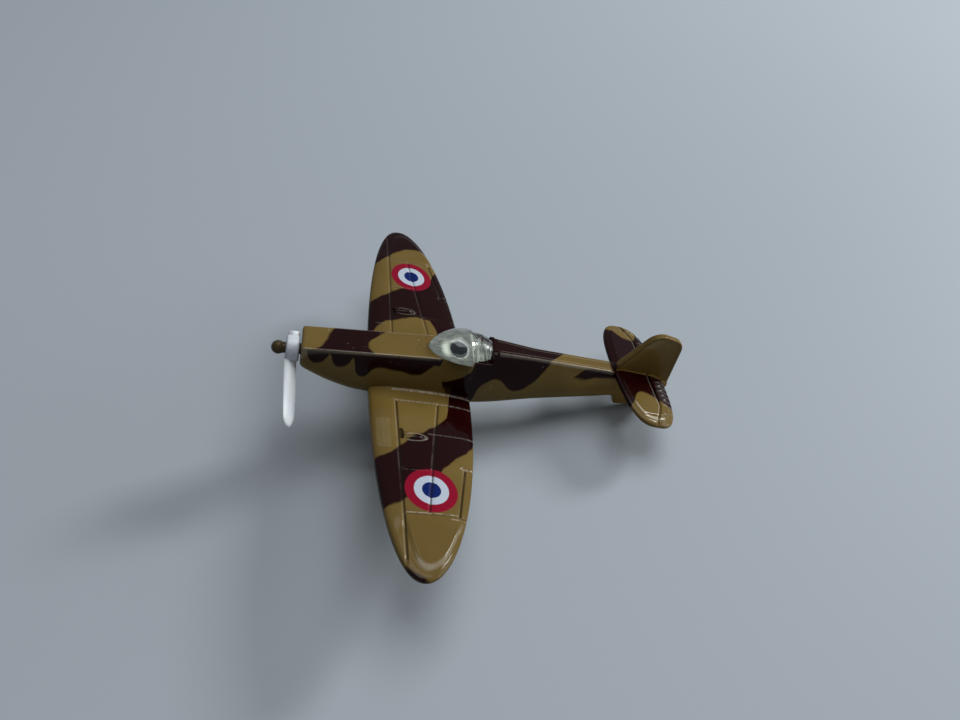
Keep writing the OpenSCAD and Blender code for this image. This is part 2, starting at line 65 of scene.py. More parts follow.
def oval(t: Points, power: float) -> Points:
    """Height of a rounded outline.

    Args:
        t: Place along it, from 0 in the middle to 1 at the end.
        power: 2 for an ellipse, and more for a fuller outline.

    Returns:
        The height, from 1 in the middle to 0 at the end.
    """
    return np.maximum(0, 1 - np.abs(t) ** power) ** (1 / power)


def ease(value: Points, low: float, high: float) -> Points:
    """Smooth step.

    Args:
        value: The values.
        low: Where the step starts.
        high: Where it ends.

    Returns:
        0 up to low and 1 from high on.
    """
    t = np.clip((value - low) / (high - low), 0, 1)
    return t * t * (3 - 2 * t)


def bell(value: Points, middle: float, width: float) -> Points:
    """Rounded bump of height 1 round a middle value, and almost 0 beyond two widths."""
    return np.exp(-((value - middle) / width) ** 2)


def segment_distance(x: Points, y: Points, start: Sequence[float], end: Sequence[float]) -> Points:
    """Distance from points to a straight line between two places.

    Args:
        x: First coordinate of the points.
        y: Second coordinate of the points.
        start: One end of the line.
        end: The other end of the line.

    Returns:
        The distances.
    """
    dx, dy = end[0] - start[0], end[1] - start[1]
    t = np.clip(((x - start[0]) * dx + (y - start[1]) * dy) / (dx * dx + dy * dy), 0, 1)
    return np.hypot(x - start[0] - t * dx, y - start[1] - t * dy)


def edge_distance(x: Points, y: Points, outline: Points) -> Points:
    """Distance from points to a closed outline.

    Args:
        x: First coordinate of the points.
        y: Second coordinate of the points.
        outline: The outline's corners in order.

    Returns:
        The distances.
    """
    best = np.full(x.shape, np.inf)
    for a, b in zip(outline, np.roll(outline, -1, axis=0)):
        if np.hypot(*(b - a)) > TINY:
            best = np.minimum(best, segment_distance(x, y, a, b))
    return best


def depth_inside(x: Points, y: Points, outline: Points) -> Points:
    """Depth inside a closed outline.

    Args:
        x: First coordinate of the points.
        y: Second coordinate of the points.
        outline: The outline's corners in order.

    Returns:
        The distance to the outline, positive inside it and negative outside.
    """
    inside = np.zeros(x.shape, bool)
    for (ax, ay), (bx, by) in zip(outline, np.roll(outline, -1, axis=0)):
        if ay != by:
            inside ^= ((ay > y) != (by > y)) & (x < (bx - ax) * (y - ay) / (by - ay) + ax)
    return edge_distance(x, y, outline) * np.where(inside, 1, -1)


@dataclass(frozen=True)
class Stance:
    """How the level airframe stands on its wheels."""

    nose_up: float = math.radians(12.9427)
    ride_height: float = 17.4872
    middle_x: float = 12.2944

    def matrix(self) -> Matrix:
        """Turns level millimetres into the standing model's metres."""
        move = Matrix.Translation((-self.middle_x * MM, 0, self.ride_height * MM))
        return move @ Matrix.Rotation(self.nose_up, 4, "Y") @ Matrix.Scale(MM, 4)


STANCE = Stance()


class Join(Enum):
    """How one solid is joined to another."""

    ADD = "UNION"
    CUT = "DIFFERENCE"
    KEEP = "INTERSECT"


class Bench:
    """Mesh work on one piece at a time with Blender's operators, in millimetres until seat()."""

    @staticmethod
    def clear() -> None:
        """Deselects everything."""
        bpy.ops.object.select_all(action="DESELECT")

    @staticmethod
    def pick(piece: Piece) -> Piece:
        """Makes a piece the only selected one.

        Args:
            piece: The piece.

        Returns:
            The same piece.
        """
        Bench.clear()
        piece.select_set(True)
        bpy.context.view_layer.objects.active = piece
        return piece

    @staticmethod
    def points(piece: Piece) -> Points:
        """Reads a piece's vertices.

        Args:
            piece: The piece.

        Returns:
            One row of coordinates for each vertex.
        """
        flat = np.empty(len(piece.data.vertices) * 3, np.float32)
        piece.data.vertices.foreach_get("co", flat)
        return flat.reshape(-1, 3).astype(float)

    @staticmethod
    def move(piece: Piece, points: Points) -> None:
        """Puts the piece's vertices at new places."""
        piece.data.vertices.foreach_set("co", points.astype(np.float32).ravel())
        piece.data.update()

    @staticmethod
    def adopt(name: str) -> Piece:
        """Names the primitive that was just added and applies its place.

        Args:
            name: Name of the piece.

        Returns:
            The piece.
        """
        piece = bpy.context.object
        piece.name = piece.data.name = name
        bpy.ops.object.transform_apply(location=True, rotation=True, scale=True)
        return piece

    @staticmethod
    def close(piece: Piece) -> Piece:
        """Merges the seam, caps open ends and turns the faces outwards.

        Args:
            piece: The piece.

        Returns:
            The same piece.
        """
        Bench.pick(piece)
        bpy.ops.object.mode_set(mode="EDIT")
        bpy.ops.mesh.select_all(action="SELECT")
        bpy.ops.mesh.remove_doubles(threshold=SEAM_GAP)
        bpy.ops.mesh.select_all(action="SELECT")
        bpy.ops.mesh.fill_holes(sides=0)
        bpy.ops.mesh.select_all(action="SELECT")
        bpy.ops.mesh.normals_make_consistent(inside=False)
        bpy.ops.object.mode_set(mode="OBJECT")
        return piece

    @staticmethod
    def plate(name: str, columns: int, rows: int, place: Place) -> Piece:
        """Closed plate: a grid, extruded once, whose points are then put in place.

        Args:
            name: Name of the piece.
            columns: Number of cells one way.
            rows: Number of cells the other way.
            place: Gives the points for arrays of column, row and a mark of the upper side.

        Returns:
            The piece.
        """
        Bench.clear()
        bpy.ops.mesh.primitive_grid_add(x_subdivisions=columns, y_subdivisions=rows, size=2)
        piece = Bench.adopt(name)
        bpy.ops.object.mode_set(mode="EDIT")
        bpy.ops.mesh.select_all(action="SELECT")
        bpy.ops.mesh.extrude_region_move(TRANSFORM_OT_translate={"value": (0, 0, 1)})
        bpy.ops.object.mode_set(mode="OBJECT")
        raw = Bench.points(piece)
        column = np.rint((raw[:, 0] + 1) / 2 * columns).astype(int)
        row = np.rint((raw[:, 1] + 1) / 2 * rows).astype(int)
        Bench.move(piece, place(column, row, raw[:, 2] > 0.5))
        return Bench.close(piece)

    @staticmethod
    def tube(name: str, rings: Points) -> Piece:
        """Closed solid through rings: a grid rolled up, with its seam merged and its ends capped.

        Args:
            name: Name of the piece.
            rings: Points of each ring, as an array of rings, points and coordinates.

        Returns:
            The piece.
        """
        along, around = rings.shape[0] - 1, rings.shape[1]
        Bench.clear()
        bpy.ops.mesh.primitive_grid_add(x_subdivisions=around, y_subdivisions=along, size=2)
        piece = Bench.adopt(name)
        raw = Bench.points(piece)
        column = np.rint((raw[:, 0] + 1) / 2 * around).astype(int) % around
        row = np.rint((raw[:, 1] + 1) / 2 * along).astype(int)
        Bench.move(piece, rings[row, column])
        return Bench.close(piece)

    @staticmethod
    def turned(name: str, profile: Sequence[tuple[float, float]], around: int, at: Sequence[float],
               stretch: Sequence[float] = (1, 1)) -> Piece:
        """Solid turned about a line along X.

        Args:
            name: Name of the piece.
            profile: Place along the line and radius, from end to end.
            around: Number of points round the line.
            at: Where the line starts.
            stretch: Factors on the radius along Y and Z.

        Returns:
            The piece.
        """
        angle = np.arange(around) * 2 * np.pi / around
        across, up = stretch[0] * np.cos(angle), stretch[1] * np.sin(angle)
        rings = np.array([np.stack([np.full(around, x), r * across, r * up], 1) for x, r in profile])
        return Bench.tube(name, rings + np.array(at, float))

    @staticmethod
    def rod(name: str, radius: float, length: float, middle: Sequence[float],
            turn: Sequence[float] = (0, 0, 0), around: int = 64) -> Piece:
        """Round bar, along Z before its turn.

        Args:
            name: Name of the piece.
            radius: Its radius.
            length: Its length.
            middle: Place of its middle.
            turn: Angles about X, Y and Z.
            around: Number of its sides.

        Returns:
            The piece.
        """
        Bench.clear()
        bpy.ops.mesh.primitive_cylinder_add(vertices=around, radius=radius, depth=length,
                                            location=middle, rotation=turn)
        return Bench.adopt(name)

    @staticmethod
    def block(name: str, low: Sequence[float], high: Sequence[float]) -> Piece:
        """Box between two corners.

        Args:
            name: Name of the piece.
            low: Its lowest corner.
            high: Its highest corner.

        Returns:
            The piece.
        """
        a, b = np.array(low, float), np.array(high, float)
        Bench.clear()
        bpy.ops.mesh.primitive_cube_add(size=1, location=(a + b) / 2, scale=b - a)
        return Bench.adopt(name)

    @staticmethod
    def join(piece: Piece, tool: Piece, how: Join) -> Piece:
        """Joins a tool to a piece as solids, and removes the tool.

        Args:
            piece: The piece, which changes.
            tool: The solid that is added, cut away or kept.
            how: Which of these.

        Returns:
            The piece.
        """
        step = piece.modifiers.new("join", "BOOLEAN")
        step.object, step.operation, step.solver = tool, how.value, "MANIFOLD"
        Bench.pick(piece)
        bpy.ops.object.modifier_apply(modifier=step.name)
        bpy.data.objects.remove(tool)
        return piece

    @staticmethod
    def soften(piece: Piece, width: float, steps: int, angle: float = 30) -> Piece:
        """Rounds a piece's sharp edges with a bevel modifier, which is applied.

        Args:
            piece: The piece.
            width: Width of the rounding.
            steps: Number of faces across it.
            angle: Edges that bend more than this, in degrees, are rounded.

        Returns:
            The piece.
        """
        step = piece.modifiers.new("soften", "BEVEL")
        step.width, step.segments, step.limit_method = width, steps, "ANGLE"
        step.angle_limit = math.radians(angle)
        Bench.pick(piece)
        bpy.ops.object.modifier_apply(modifier=step.name)
        return piece

    @staticmethod
    def seat(piece: Piece, crease: float = 35) -> Piece:
        """Smooths a piece's shading and sets it down on the wheels, in metres.

        Args:
            piece: The piece, in level millimetres.
            crease: Edges that bend more than this, in degrees, stay sharp.

        Returns:
            The piece.
        """
        Bench.pick(piece)
        bpy.ops.object.shade_smooth_by_angle(angle=math.radians(crease))
        piece.data.transform(STANCE.matrix())
        piece.data.update()
        return piece


def register(piece: Piece, body: str, slot: str, finish: bpy.types.Material, *nodes: str) -> Piece:
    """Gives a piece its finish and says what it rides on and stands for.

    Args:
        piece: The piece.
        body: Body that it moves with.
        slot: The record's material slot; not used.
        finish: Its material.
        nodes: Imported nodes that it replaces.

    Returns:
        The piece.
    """
    piece.data.materials.clear()
    piece.data.materials.append(finish)
    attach(piece, body)
    if nodes:
        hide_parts(*nodes)
    log.info("%s: %d faces, rides on %s", piece.name, len(piece.data.polygons), body)
    return piece


# ---- Shaders ----

Feed = Union["Number", bpy.types.NodeSocket, float, Sequence[float]]


class Number:
    """A value socket that takes part in arithmetic, each operator adding a Math node."""

    def __init__(self, recipe: "Recipe", socket: bpy.types.NodeSocket) -> None:
        """Wraps one socket of a recipe."""
        self.recipe, self.socket = recipe, socket

    def math(self, operation: str, first: Feed, second: Feed = 0.0) -> "Number":
        """Adds one Math node and gives its result."""
        node = self.recipe.node("ShaderNodeMath", {"operation": operation}, {0: first, 1: second})
        return Number(self.recipe, node.outputs[0])

    def __add__(self, other: Feed) -> "Number":
        """Sum."""
        return self.math("ADD", self, other)

    def __radd__(self, other: Feed) -> "Number":
        """Sum."""
        return self.math("ADD", other, self)

    def __sub__(self, other: Feed) -> "Number":
        """Difference."""
        return self.math("SUBTRACT", self, other)

    def __rsub__(self, other: Feed) -> "Number":
        """Difference, the other way round."""
        return self.math("SUBTRACT", other, self)

    def __mul__(self, other: Feed) -> "Number":
        """Product."""
        return self.math("MULTIPLY", self, other)

    def __rmul__(self, other: Feed) -> "Number":
        """Product."""
        return self.math("MULTIPLY", other, self)

    def __truediv__(self, other: Feed) -> "Number":
        """Quotient."""
        return self.math("DIVIDE", self, other)

    def __abs__(self) -> "Number":
        """Size without its sign."""
        return self.math("ABSOLUTE", self)

    def least(self, other: Feed) -> "Number":
        """The smaller of two."""
        return self.math("MINIMUM", self, other)

    def most(self, other: Feed) -> "Number":
        """The larger of two."""
        return self.math("MAXIMUM", self, other)

    def power(self, exponent: float) -> "Number":
        """Power."""
        return self.math("POWER", self, exponent)

    def root(self) -> "Number":
        """Square root."""
        return self.math("SQRT", self)

    def step(self, low: float, high: float) -> "Number":
        """Smooth step.

        Args:
            low: Where the step starts, which may be the larger of the two.
            high: Where it ends.

        Returns:
            0 on low's side and 1 on high's side.
        """
        node = self.recipe.node("ShaderNodeMapRange", {"interpolation_type": "SMOOTHSTEP"},
                                {"Value": self, "From Min": low, "From Max": high})
        return Number(self.recipe, node.outputs["Result"])

    def window(self, low: float, high: float, rise: float = 0.5, fall: float = 0.5) -> "Number":
        """Smooth window.

        Args:
            low: Where it opens.
            high: Where it closes.
            rise: How far past low it takes to open fully.
            fall: How far before high it starts to close.

        Returns:
            1 inside the window and 0 outside it.
        """
        return self.step(low, low + rise) * self.step(high, high - fall)

    def follow(self, stops: Sequence[tuple[float, float]]) -> "Number":
        """Smooth curve of this number.

        Args:
            stops: Places in order, each with the curve's value there.

        Returns:
            The curve's value.
        """
        places, values = [s[0] for s in stops], [s[1] for s in stops]
        start, reach = places[0], places[-1] - places[0]
        low, wide = min(values), max(max(values) - min(values), TINY)
        marks = [((p - start) / reach, [(v - low) / wide] * 3 + [1]) for p, v in stops]
        node = self.recipe.node("ShaderNodeValToRGB", {"stops": marks, "interpolation": "CARDINAL"},
                                {"Fac": (self - start) / reach})
        return Number(self.recipe, node.outputs["Color"]) * wide + low


class Recipe:
    """Nodes of one material, which end in a Principled shader, or of the world."""

    def __init__(self, name: str) -> None:
        """Starts an empty material.

        Args:
            name: Name of the material.
        """
        self.material = bpy.data.materials.new(name)
        self.material.use_nodes = True
        self.tree = self.material.node_tree
        self.tree.nodes.clear()

    @classmethod
    def of(cls, tree: bpy.types.NodeTree) -> "Recipe":
        """Starts over in nodes that exist.

        Args:
            tree: The nodes of a world.

        Returns:
            A recipe without a material.
        """
        recipe = cls.__new__(cls)
        recipe.material, recipe.tree = None, tree
        tree.nodes.clear()
        return recipe

    def node(self, kind: str, settings: dict | None = None, inputs: dict | None = None) -> bpy.types.Node:
        """Adds a node.

        Args:
            kind: The node's type.
            settings: Its settings; stops are a colour ramp's places and colours.
            inputs: Values or links by the input's name or number.

        Returns:
            The node.
        """
        node = self.tree.nodes.new(kind)
        for key, value in (settings or {}).items():
            if key == "stops":
                self.fill(node.color_ramp.elements, value)
            elif key == "interpolation":
                node.color_ramp.interpolation = value
            else:
                setattr(node, key, value)
        for key, value in (inputs or {}).items():
            self.feed(node.inputs[key], value)
        return node

    @staticmethod
    def fill(ramp: bpy.types.bpy_prop_collection, stops: Sequence[tuple[float, Sequence[float]]]) -> None:
        """Gives a colour ramp its stops.

        Args:
            ramp: The ramp's marks.
            stops: Place and colour of each stop, in order.
        """
        while len(ramp) < len(stops):
            ramp.new(1)
        for mark, (place, colour) in zip(ramp, stops):
            mark.position = place
        for mark, (place, colour) in zip(ramp, stops):
            mark.position, mark.color = place, colour

    def feed(self, socket: bpy.types.NodeSocket, value: Feed) -> None:
        """Links or sets one input.

        Args:
            socket: The input.
            value: A number, a socket, a constant or a colour.
        """
        if isinstance(value, Number):
            value = value.socket
        if isinstance(value, bpy.types.NodeSocket):
            self.tree.links.new(value, socket)
        elif socket.type == "RGBA":
            socket.default_value = (*value[:3], 1)
        else:
            socket.default_value = value

    def place(self) -> bpy.types.NodeSocket:
        """Place on the standing model, in millimetres."""
        here = self.node("ShaderNodeTexCoord").outputs["Object"]
        return self.node("ShaderNodeMapping", {}, {"Vector": here, "Scale": (1 / MM,) * 3}).outputs[0]

    def level(self) -> tuple["Number", "Number", "Number"]:
        """Place on the level airframe.

        Returns:
            Place along it, across it and over the propeller's axis, in millimetres.
        """
        shift = (STANCE.middle_x, 0, -STANCE.ride_height)
        moved = self.node("ShaderNodeVectorMath", {"operation": "ADD"}, {0: self.place(), 1: shift})
        turned = self.node("ShaderNodeMapping", {},
                           {"Vector": moved.outputs[0], "Rotation": (0, -STANCE.nose_up, 0)})
        split = self.node("ShaderNodeSeparateXYZ", {}, {0: turned.outputs[0]})
        return tuple(Number(self, split.outputs[i]) for i in range(3))

    def noise(self, scale: float, detail: float = 3, rough: float = 0.5,
              stretch: Sequence[float] = (1, 1, 1)) -> "Number":
        """Noise round 0.5.

        Args:
            scale: Number of its features to a millimetre.
            detail: Number of finer layers.
            rough: Strength of the finer layers.
            stretch: Factors on the place along X, Y and Z.

        Returns:
            The noise.
        """
        at = self.node("ShaderNodeMapping", {}, {"Vector": self.place(), "Scale": stretch}).outputs[0]
        node = self.node("ShaderNodeTexNoise", {}, {"Vector": at, "Scale": scale, "Detail": detail,
                                                    "Roughness": rough})
        return Number(self, node.outputs["Fac"])

    def edges(self) -> "Number":
        """How far an edge stands out: over 0.5 on ridges and under it in grooves."""
        return Number(self, self.node("ShaderNodeNewGeometry").outputs["Pointiness"])

    def mix(self, share: Feed, first: Feed, second: Feed) -> bpy.types.NodeSocket:
        """Mixes two colours.

        Args:
            share: Share of the second colour.
            first: The first colour.
            second: The second colour.

        Returns:
            The mixed colour.
        """
        node = self.node("ShaderNodeMix", {"data_type": "RGBA"})
        inputs = [node.inputs[k] for k in MIX_COLOUR_INPUTS]
        for socket, value in zip(inputs, (share, first, second)):
            self.feed(socket, value)
        return node.outputs[MIX_COLOUR_OUTPUT]

    def bump(self, height: Feed, depth: float,
             below: bpy.types.NodeSocket | None = None) -> bpy.types.NodeSocket:
        """Relief.

        Args:
            height: Its height, between 0 and 1.
            depth: Millimetres for a height of 1.
            below: A relief that it lies on.

        Returns:
            The relief's direction.
        """
        inputs = {"Height": height, "Distance": depth * MM}
        if below is not None:
            inputs["Normal"] = below
        return self.node("ShaderNodeBump", {}, inputs).outputs[0]

    def finish(self, **inputs: Feed) -> bpy.types.Material:
        """Ends the recipe in a Principled shader.

        Args:
            inputs: Its inputs, with underscores for the spaces in their names.

        Returns:
            The material.
        """
        named = {key.replace("_", " "): value for key, value in inputs.items()}
        shader = self.node("ShaderNodeBsdfPrincipled", {}, named)
        out = self.node("ShaderNodeOutputMaterial")
        self.tree.links.new(shader.outputs[0], out.inputs["Surface"])
        return self.material


@dataclass(frozen=True)
class TailPlan:
    """Outline, hinge and ribs of the tailplane."""

    half: float = 14.3
    middle_x: float = 43.9
    middle_z: float = 1.4
    thick: float = 0.85
    slope: float = math.tan(math.radians(7))
    front: float = 5.6
    rear: float = 5.5
    full: float = 2.9
    tip_edge: float = 0.35
    hinge_x: float = 45.8
    bend_y: float = 9.3
    bend: float = 0.45
    rib_pitch: float = 1.28
    rib_first: float = 1.2
    rib_last: float = 8.9

    def lead(self, y: Points) -> Points:
        """Leading edge."""
        return self.middle_x - np.maximum(self.tip_edge, self.front * oval(y / self.half, self.full))

    def trail(self, y: Points) -> Points:
        """Trailing edge."""
        return self.middle_x + np.maximum(self.tip_edge, self.rear * oval(y / self.half, self.full))

    def hinge(self, y: Points) -> Points:
        """Hinge line, which slants forward near the tips."""
        return self.hinge_x - np.maximum(0, np.abs(y) - self.bend_y) * self.bend


@dataclass(frozen=True)
class BlisterPlan:
    """Place of the blister on each wing and of the raised line round its foot."""

    out: float = 16.9
    foot_x: float = -2.1
    foot_along: float = 2.25
    foot_across: float = 0.86
    mouth_x: float = -4.25
    mouth_out: float = 16.3


TAIL = TailPlan()
BLISTER = BlisterPlan()
TIP_PANEL: Outline = ((-4.9, 30), (-4.3, 36), (-3.6, 39.5), (-3.2, 41.2), (-2.7, 42.0), (-1.9, 42.5),
                      (-1.0, 42.4), (-0.1, 41.9), (1.0, 40.9), (2.1, 39.1), (3.2, 37.0), (4.1, 35.4),
                      (4.9, 33.6), (6, 30))


@dataclass(frozen=True)
class Camouflage:
    """Dark patches, each between border lines of place along the airframe and place across or height."""

    soft: float = 0.30
    drift: float = 1.1
    drift_scale: float = 0.45
    body_half: float = 4.7
    tail_x: float = 37.6
    fin_x: float = 38.5
    fin_half: float = 0.85
    left_inner: Outline = ((-10, 23), (-8.8, 22.1), (-5.2, 19.8), (-3.7, 18.1), (0, 15.2), (2.4, 13.3),
                           (4.5, 11.1), (5.0, 8.5), (5.4, 6.0), (6.4, 3.0), (10, 0))
    left_outer: Outline = ((-10, 32.8), (-7.3, 31.9), (-4.8, 30.7), (-1, 27.4), (2.4, 23.8), (8.3, 18.1),
                           (10, 16.6))
    right_outer: Outline = ((-10, 18.0), (-9, 18.8), (-7, 20.6), (-5.3, 21.8), (-2.7, 23.7), (0.5, 25.2),
                            (4.2, 27.6), (4.9, 30), (6, 32.2), (10, 34))
    right_inner: Outline = ((-10.4, 5.0), (-9.4, 6.5), (-8.6, 9.8), (-7.9, 11.6), (-6.1, 13.3), (-3, 14.6),
                            (0.8, 15.6), (3.4, 15.0), (4.5, 12.5), (5.2, 8.5), (6, 3), (10, 0))
    right_tip: Outline = ((-10, 30.2), (-7.6, 31.6), (-5, 34.2), (-2.2, 36.5), (0.2, 37.8), (2.5, 37.9),
                          (5, 36.4), (10, 33))
    left_tip_slope: float = 0.72
    left_tip_out: float = 45.75
    deck_front: Outline = ((-4, -19.8), (-3.1, -19.7), (-2.3, -18.7), (-0.5, -17.8), (1.5, -17.2),
                           (2.8, -16.5), (4, -15.6))
    deck_rear: Outline = ((-4, -8.6), (-3, -9.3), (-1.8, -10.2), (-0.4, -10.3), (1.0, -9.2), (2.8, -7.4),
                          (4, -6.2))
    side_low: Outline = ((-23, 4.6), (-21.3, 4.2), (-20.9, 2.2), (-20.6, 1.0), (-20.1, 0.35),
                         (-19.4, 0.15), (-18.6, 0.35), (-17.9, 1.0), (-17.3, 1.9), (-17.0, 2.35),
                         (-16.7, 1.9), (-16.4, 0.9), (-15.8, 0.15), (-15.0, 0.0), (-14.1, 0.35),
                         (-13.4, 1.1), (-12.9, 2.0), (-12.6, 1.2), (-12.3, -0.3), (-11.8, -1.1),
                         (-11.1, -1.45), (-10.3, -1.1), (-9.7, -0.2), (-8.7, 0.6), (-6.0, 0.5),
                         (-3.6, 0.3), (-2.1, -0.1), (-0.1, 0.3), (1.5, 1.9), (2.9, 2.3), (3.3, 4.4))
    rear_low: Outline = ((3.2, 0.0), (3.9, -2.0), (4.8, -3.6), (6.5, -6.5), (10.2, -6.5), (10.8, -2.4),
                         (12.5, -0.4), (14.8, -0.2), (17.0, -2.1), (18.8, -2.5), (20.5, -1.4), (22.4, 0.6),
                         (23.6, 2.3), (24.2, 3.4), (24.6, 5.4))
    rear_high: Outline = ((3.2, -0.6), (3.9, -1.0), (5.7, -0.4), (7.7, 0.8), (8.8, 2.4), (9.2, 6.0))
    rear_slant: float = 1.2
    wedge_low: Outline = ((26.6, -1.2), (28.4, -1.05), (30.2, -0.5), (32.0, 0.5), (34.0, 1.1), (39, 1.2))
    wedge_high: Outline = ((26.6, -1.1), (27.6, -0.6), (29.5, 0.8), (31.2, 2.4), (33.2, 3.2), (39, 3.4))
    stab_left: Outline = ((38, 12.0), (39.2, 10.1), (40.4, 8.5), (41.4, 6.8), (42.6, 6.0), (44.2, 6.6),
                          (45.7, 7.6), (49, 9.9), (52, 10.5))
    stab_right: Outline = ((38, 13.6), (40.0, 12.3), (41.6, 11.3), (42.9, 10.1), (44.3, 9.4), (45.8, 9.5),
                           (47.0, 11.6), (49, 13.5), (52, 14))

    def over(self, line: Outline, at: Number, value: Number) -> Number:
        """1 where a value is over a border line and 0 under it.

        Args:
            line: The border line.
            at: Where along it.
            value: The value.

        Returns:
            The share, with a soft border.
        """
        return (value - at.follow(line)).step(-self.soft, self.soft)

    def wings(self, x: Number, out: Number, right: Number) -> Number:
        """Dark patches on the wings.

        Args:
            x: Place along the level airframe.
            out: Place out along a wing.
            right: 1 on the right wing and 0 on the left one.

        Returns:
            Share of the dark paint.
        """
        band = self.over(self.left_inner, x, out) * (1 - self.over(self.left_outer, x, out))
        tip = (out - x * self.left_tip_slope - self.left_tip_out).step(-0.35, 0.45) * x.step(0.5, -0.5)
        right_band = self.over(self.right_inner, x, out) * (1 - self.over(self.right_outer, x, out))
        right_tip = self.over(self.right_tip, x, out)
        return (1 - right) * band.most(tip) + right * right_band.most(right_tip)

    def fuselage(self, x: Number, y: Number, z: Number, lift: Number) -> Number:
        """Dark patches on the deck, on the sides and behind the canopy.

        Args:
            x: Place along the level airframe.
            y: Place across it.
            z: Height over the propeller's axis.
            lift: The same height, a little uneven.

        Returns:
            Share of the dark paint.
        """
        deck = self.over(self.deck_front, y, x) * (1 - self.over(self.deck_rear, y, x))
        side = self.over(self.side_low, x, lift) * x.step(3.4, 3.1)
        back = x - (y + 1.5).most(0).least(3) * self.rear_slant
        rear = self.over(self.rear_low, back, lift) * x.step(3.2, 3.5) * back.step(24.6, 24.3)
        rear = rear * (1 - self.over(self.rear_high, x, lift)).most(x.step(9.0, 9.2))
        top = z.step(2.6, 2.9) * abs(y).step(3.3, 3.0) * x.step(6, 5)
        return (side * (1 - top)).most(deck * top).most(rear)

    def wedge(self, x: Number, y: Number, lift: Number) -> Number:
        """Dark wedge in front of the tailplane, on the tail's sides.

        Args:
            x: Place along the level airframe.
            y: Place across it.
            lift: Height over the propeller's axis, a little uneven.

        Returns:
            Share of the dark paint.
        """
        between = self.over(self.wedge_low, x, lift) * (1 - self.over(self.wedge_high, x, lift))
        beside = abs(y).step(2.6, 2.3) * abs(y).step(1.35, 1.6).most(x.step(38, 39))
        return between * beside * x.window(26.6, 40.0, 0.4, 1.0)

    def tailplane(self, x: Number, out: Number, z: Number, right: Number) -> Number:
        """Dark inner halves of the tailplane's upper side.

        Args:
            x: Place along the level airframe.
            out: Place out along the tailplane.
            z: Height over the propeller's axis.
            right: 1 on the right half and 0 on the left one.

        Returns:
            Share of the dark paint.
        """
        inner = (1 - right) * (1 - self.over(self.stab_left, x, out))
        inner = inner + right * (1 - self.over(self.stab_right, x, out))
        return inner * (z + (x - TAIL.middle_x) * TAIL.slope).step(0.9, 1.3)

    def patches(self, r: Recipe, x: Number, y: Number, z: Number) -> Number:
        """Share of the dark paint.

        Args:
            r: The recipe.
            x: Place along the level airframe.
            y: Place across it.
            z: Height over the propeller's axis.

        Returns:
            1 in a dark patch and 0 outside, with a soft border.
        """
        drift = (r.noise(self.drift_scale, 2) - 0.5) * self.drift
        out, lift = abs(y) + drift, z + drift * 0.4
        right = y.step(-0.3, 0.3)
        wedge = self.wedge(x, y, lift)
        on_body = abs(y).step(self.body_half + 0.2, self.body_half - 0.2)
        on_body = on_body.most(z.step(-1.6, -1.2) * abs(y).step(12, 10))
        front = self.wings(x, out, right) * (1 - on_body)
        front = front + self.fuselage(x, y, z, lift).most(wedge) * on_body
        at_tail = x.step(self.tail_x - 0.2, self.tail_x + 0.2)
        fin = x.step(self.fin_x, self.fin_x + 0.3) * abs(y).step(self.fin_half + 0.15, self.fin_half)
        tail = self.tailplane(x, out, z, right).most(wedge)
        return (front * (1 - at_tail) + tail * at_tail) * (1 - fin)


@dataclass(frozen=True)
class Crest:
    """Rubbed line from the front of a wing to its back, also a painted highlight: its station, ends, half
    width and strength.
    """

    out: float
    start: float
    end: float
    wide: float
    share: float


@dataclass(frozen=True)
class Slot:
    """Long groove out along a wing, at x = start + slope * y between two stations."""

    start: float
    slope: float
    low: float
    high: float
    wide: float

    def across(self, x: Number, out: Number, shift: float) -> Number:
        """Distance to the groove's line, which is moved back by the shift."""
        return abs(x - shift - (out * self.slope + self.start))

    def along(self, out: Number) -> Number:
        """1 between the groove's ends and 0 beyond them."""
        return out.window(self.low - 0.1, self.high, 0.3, 0.4)


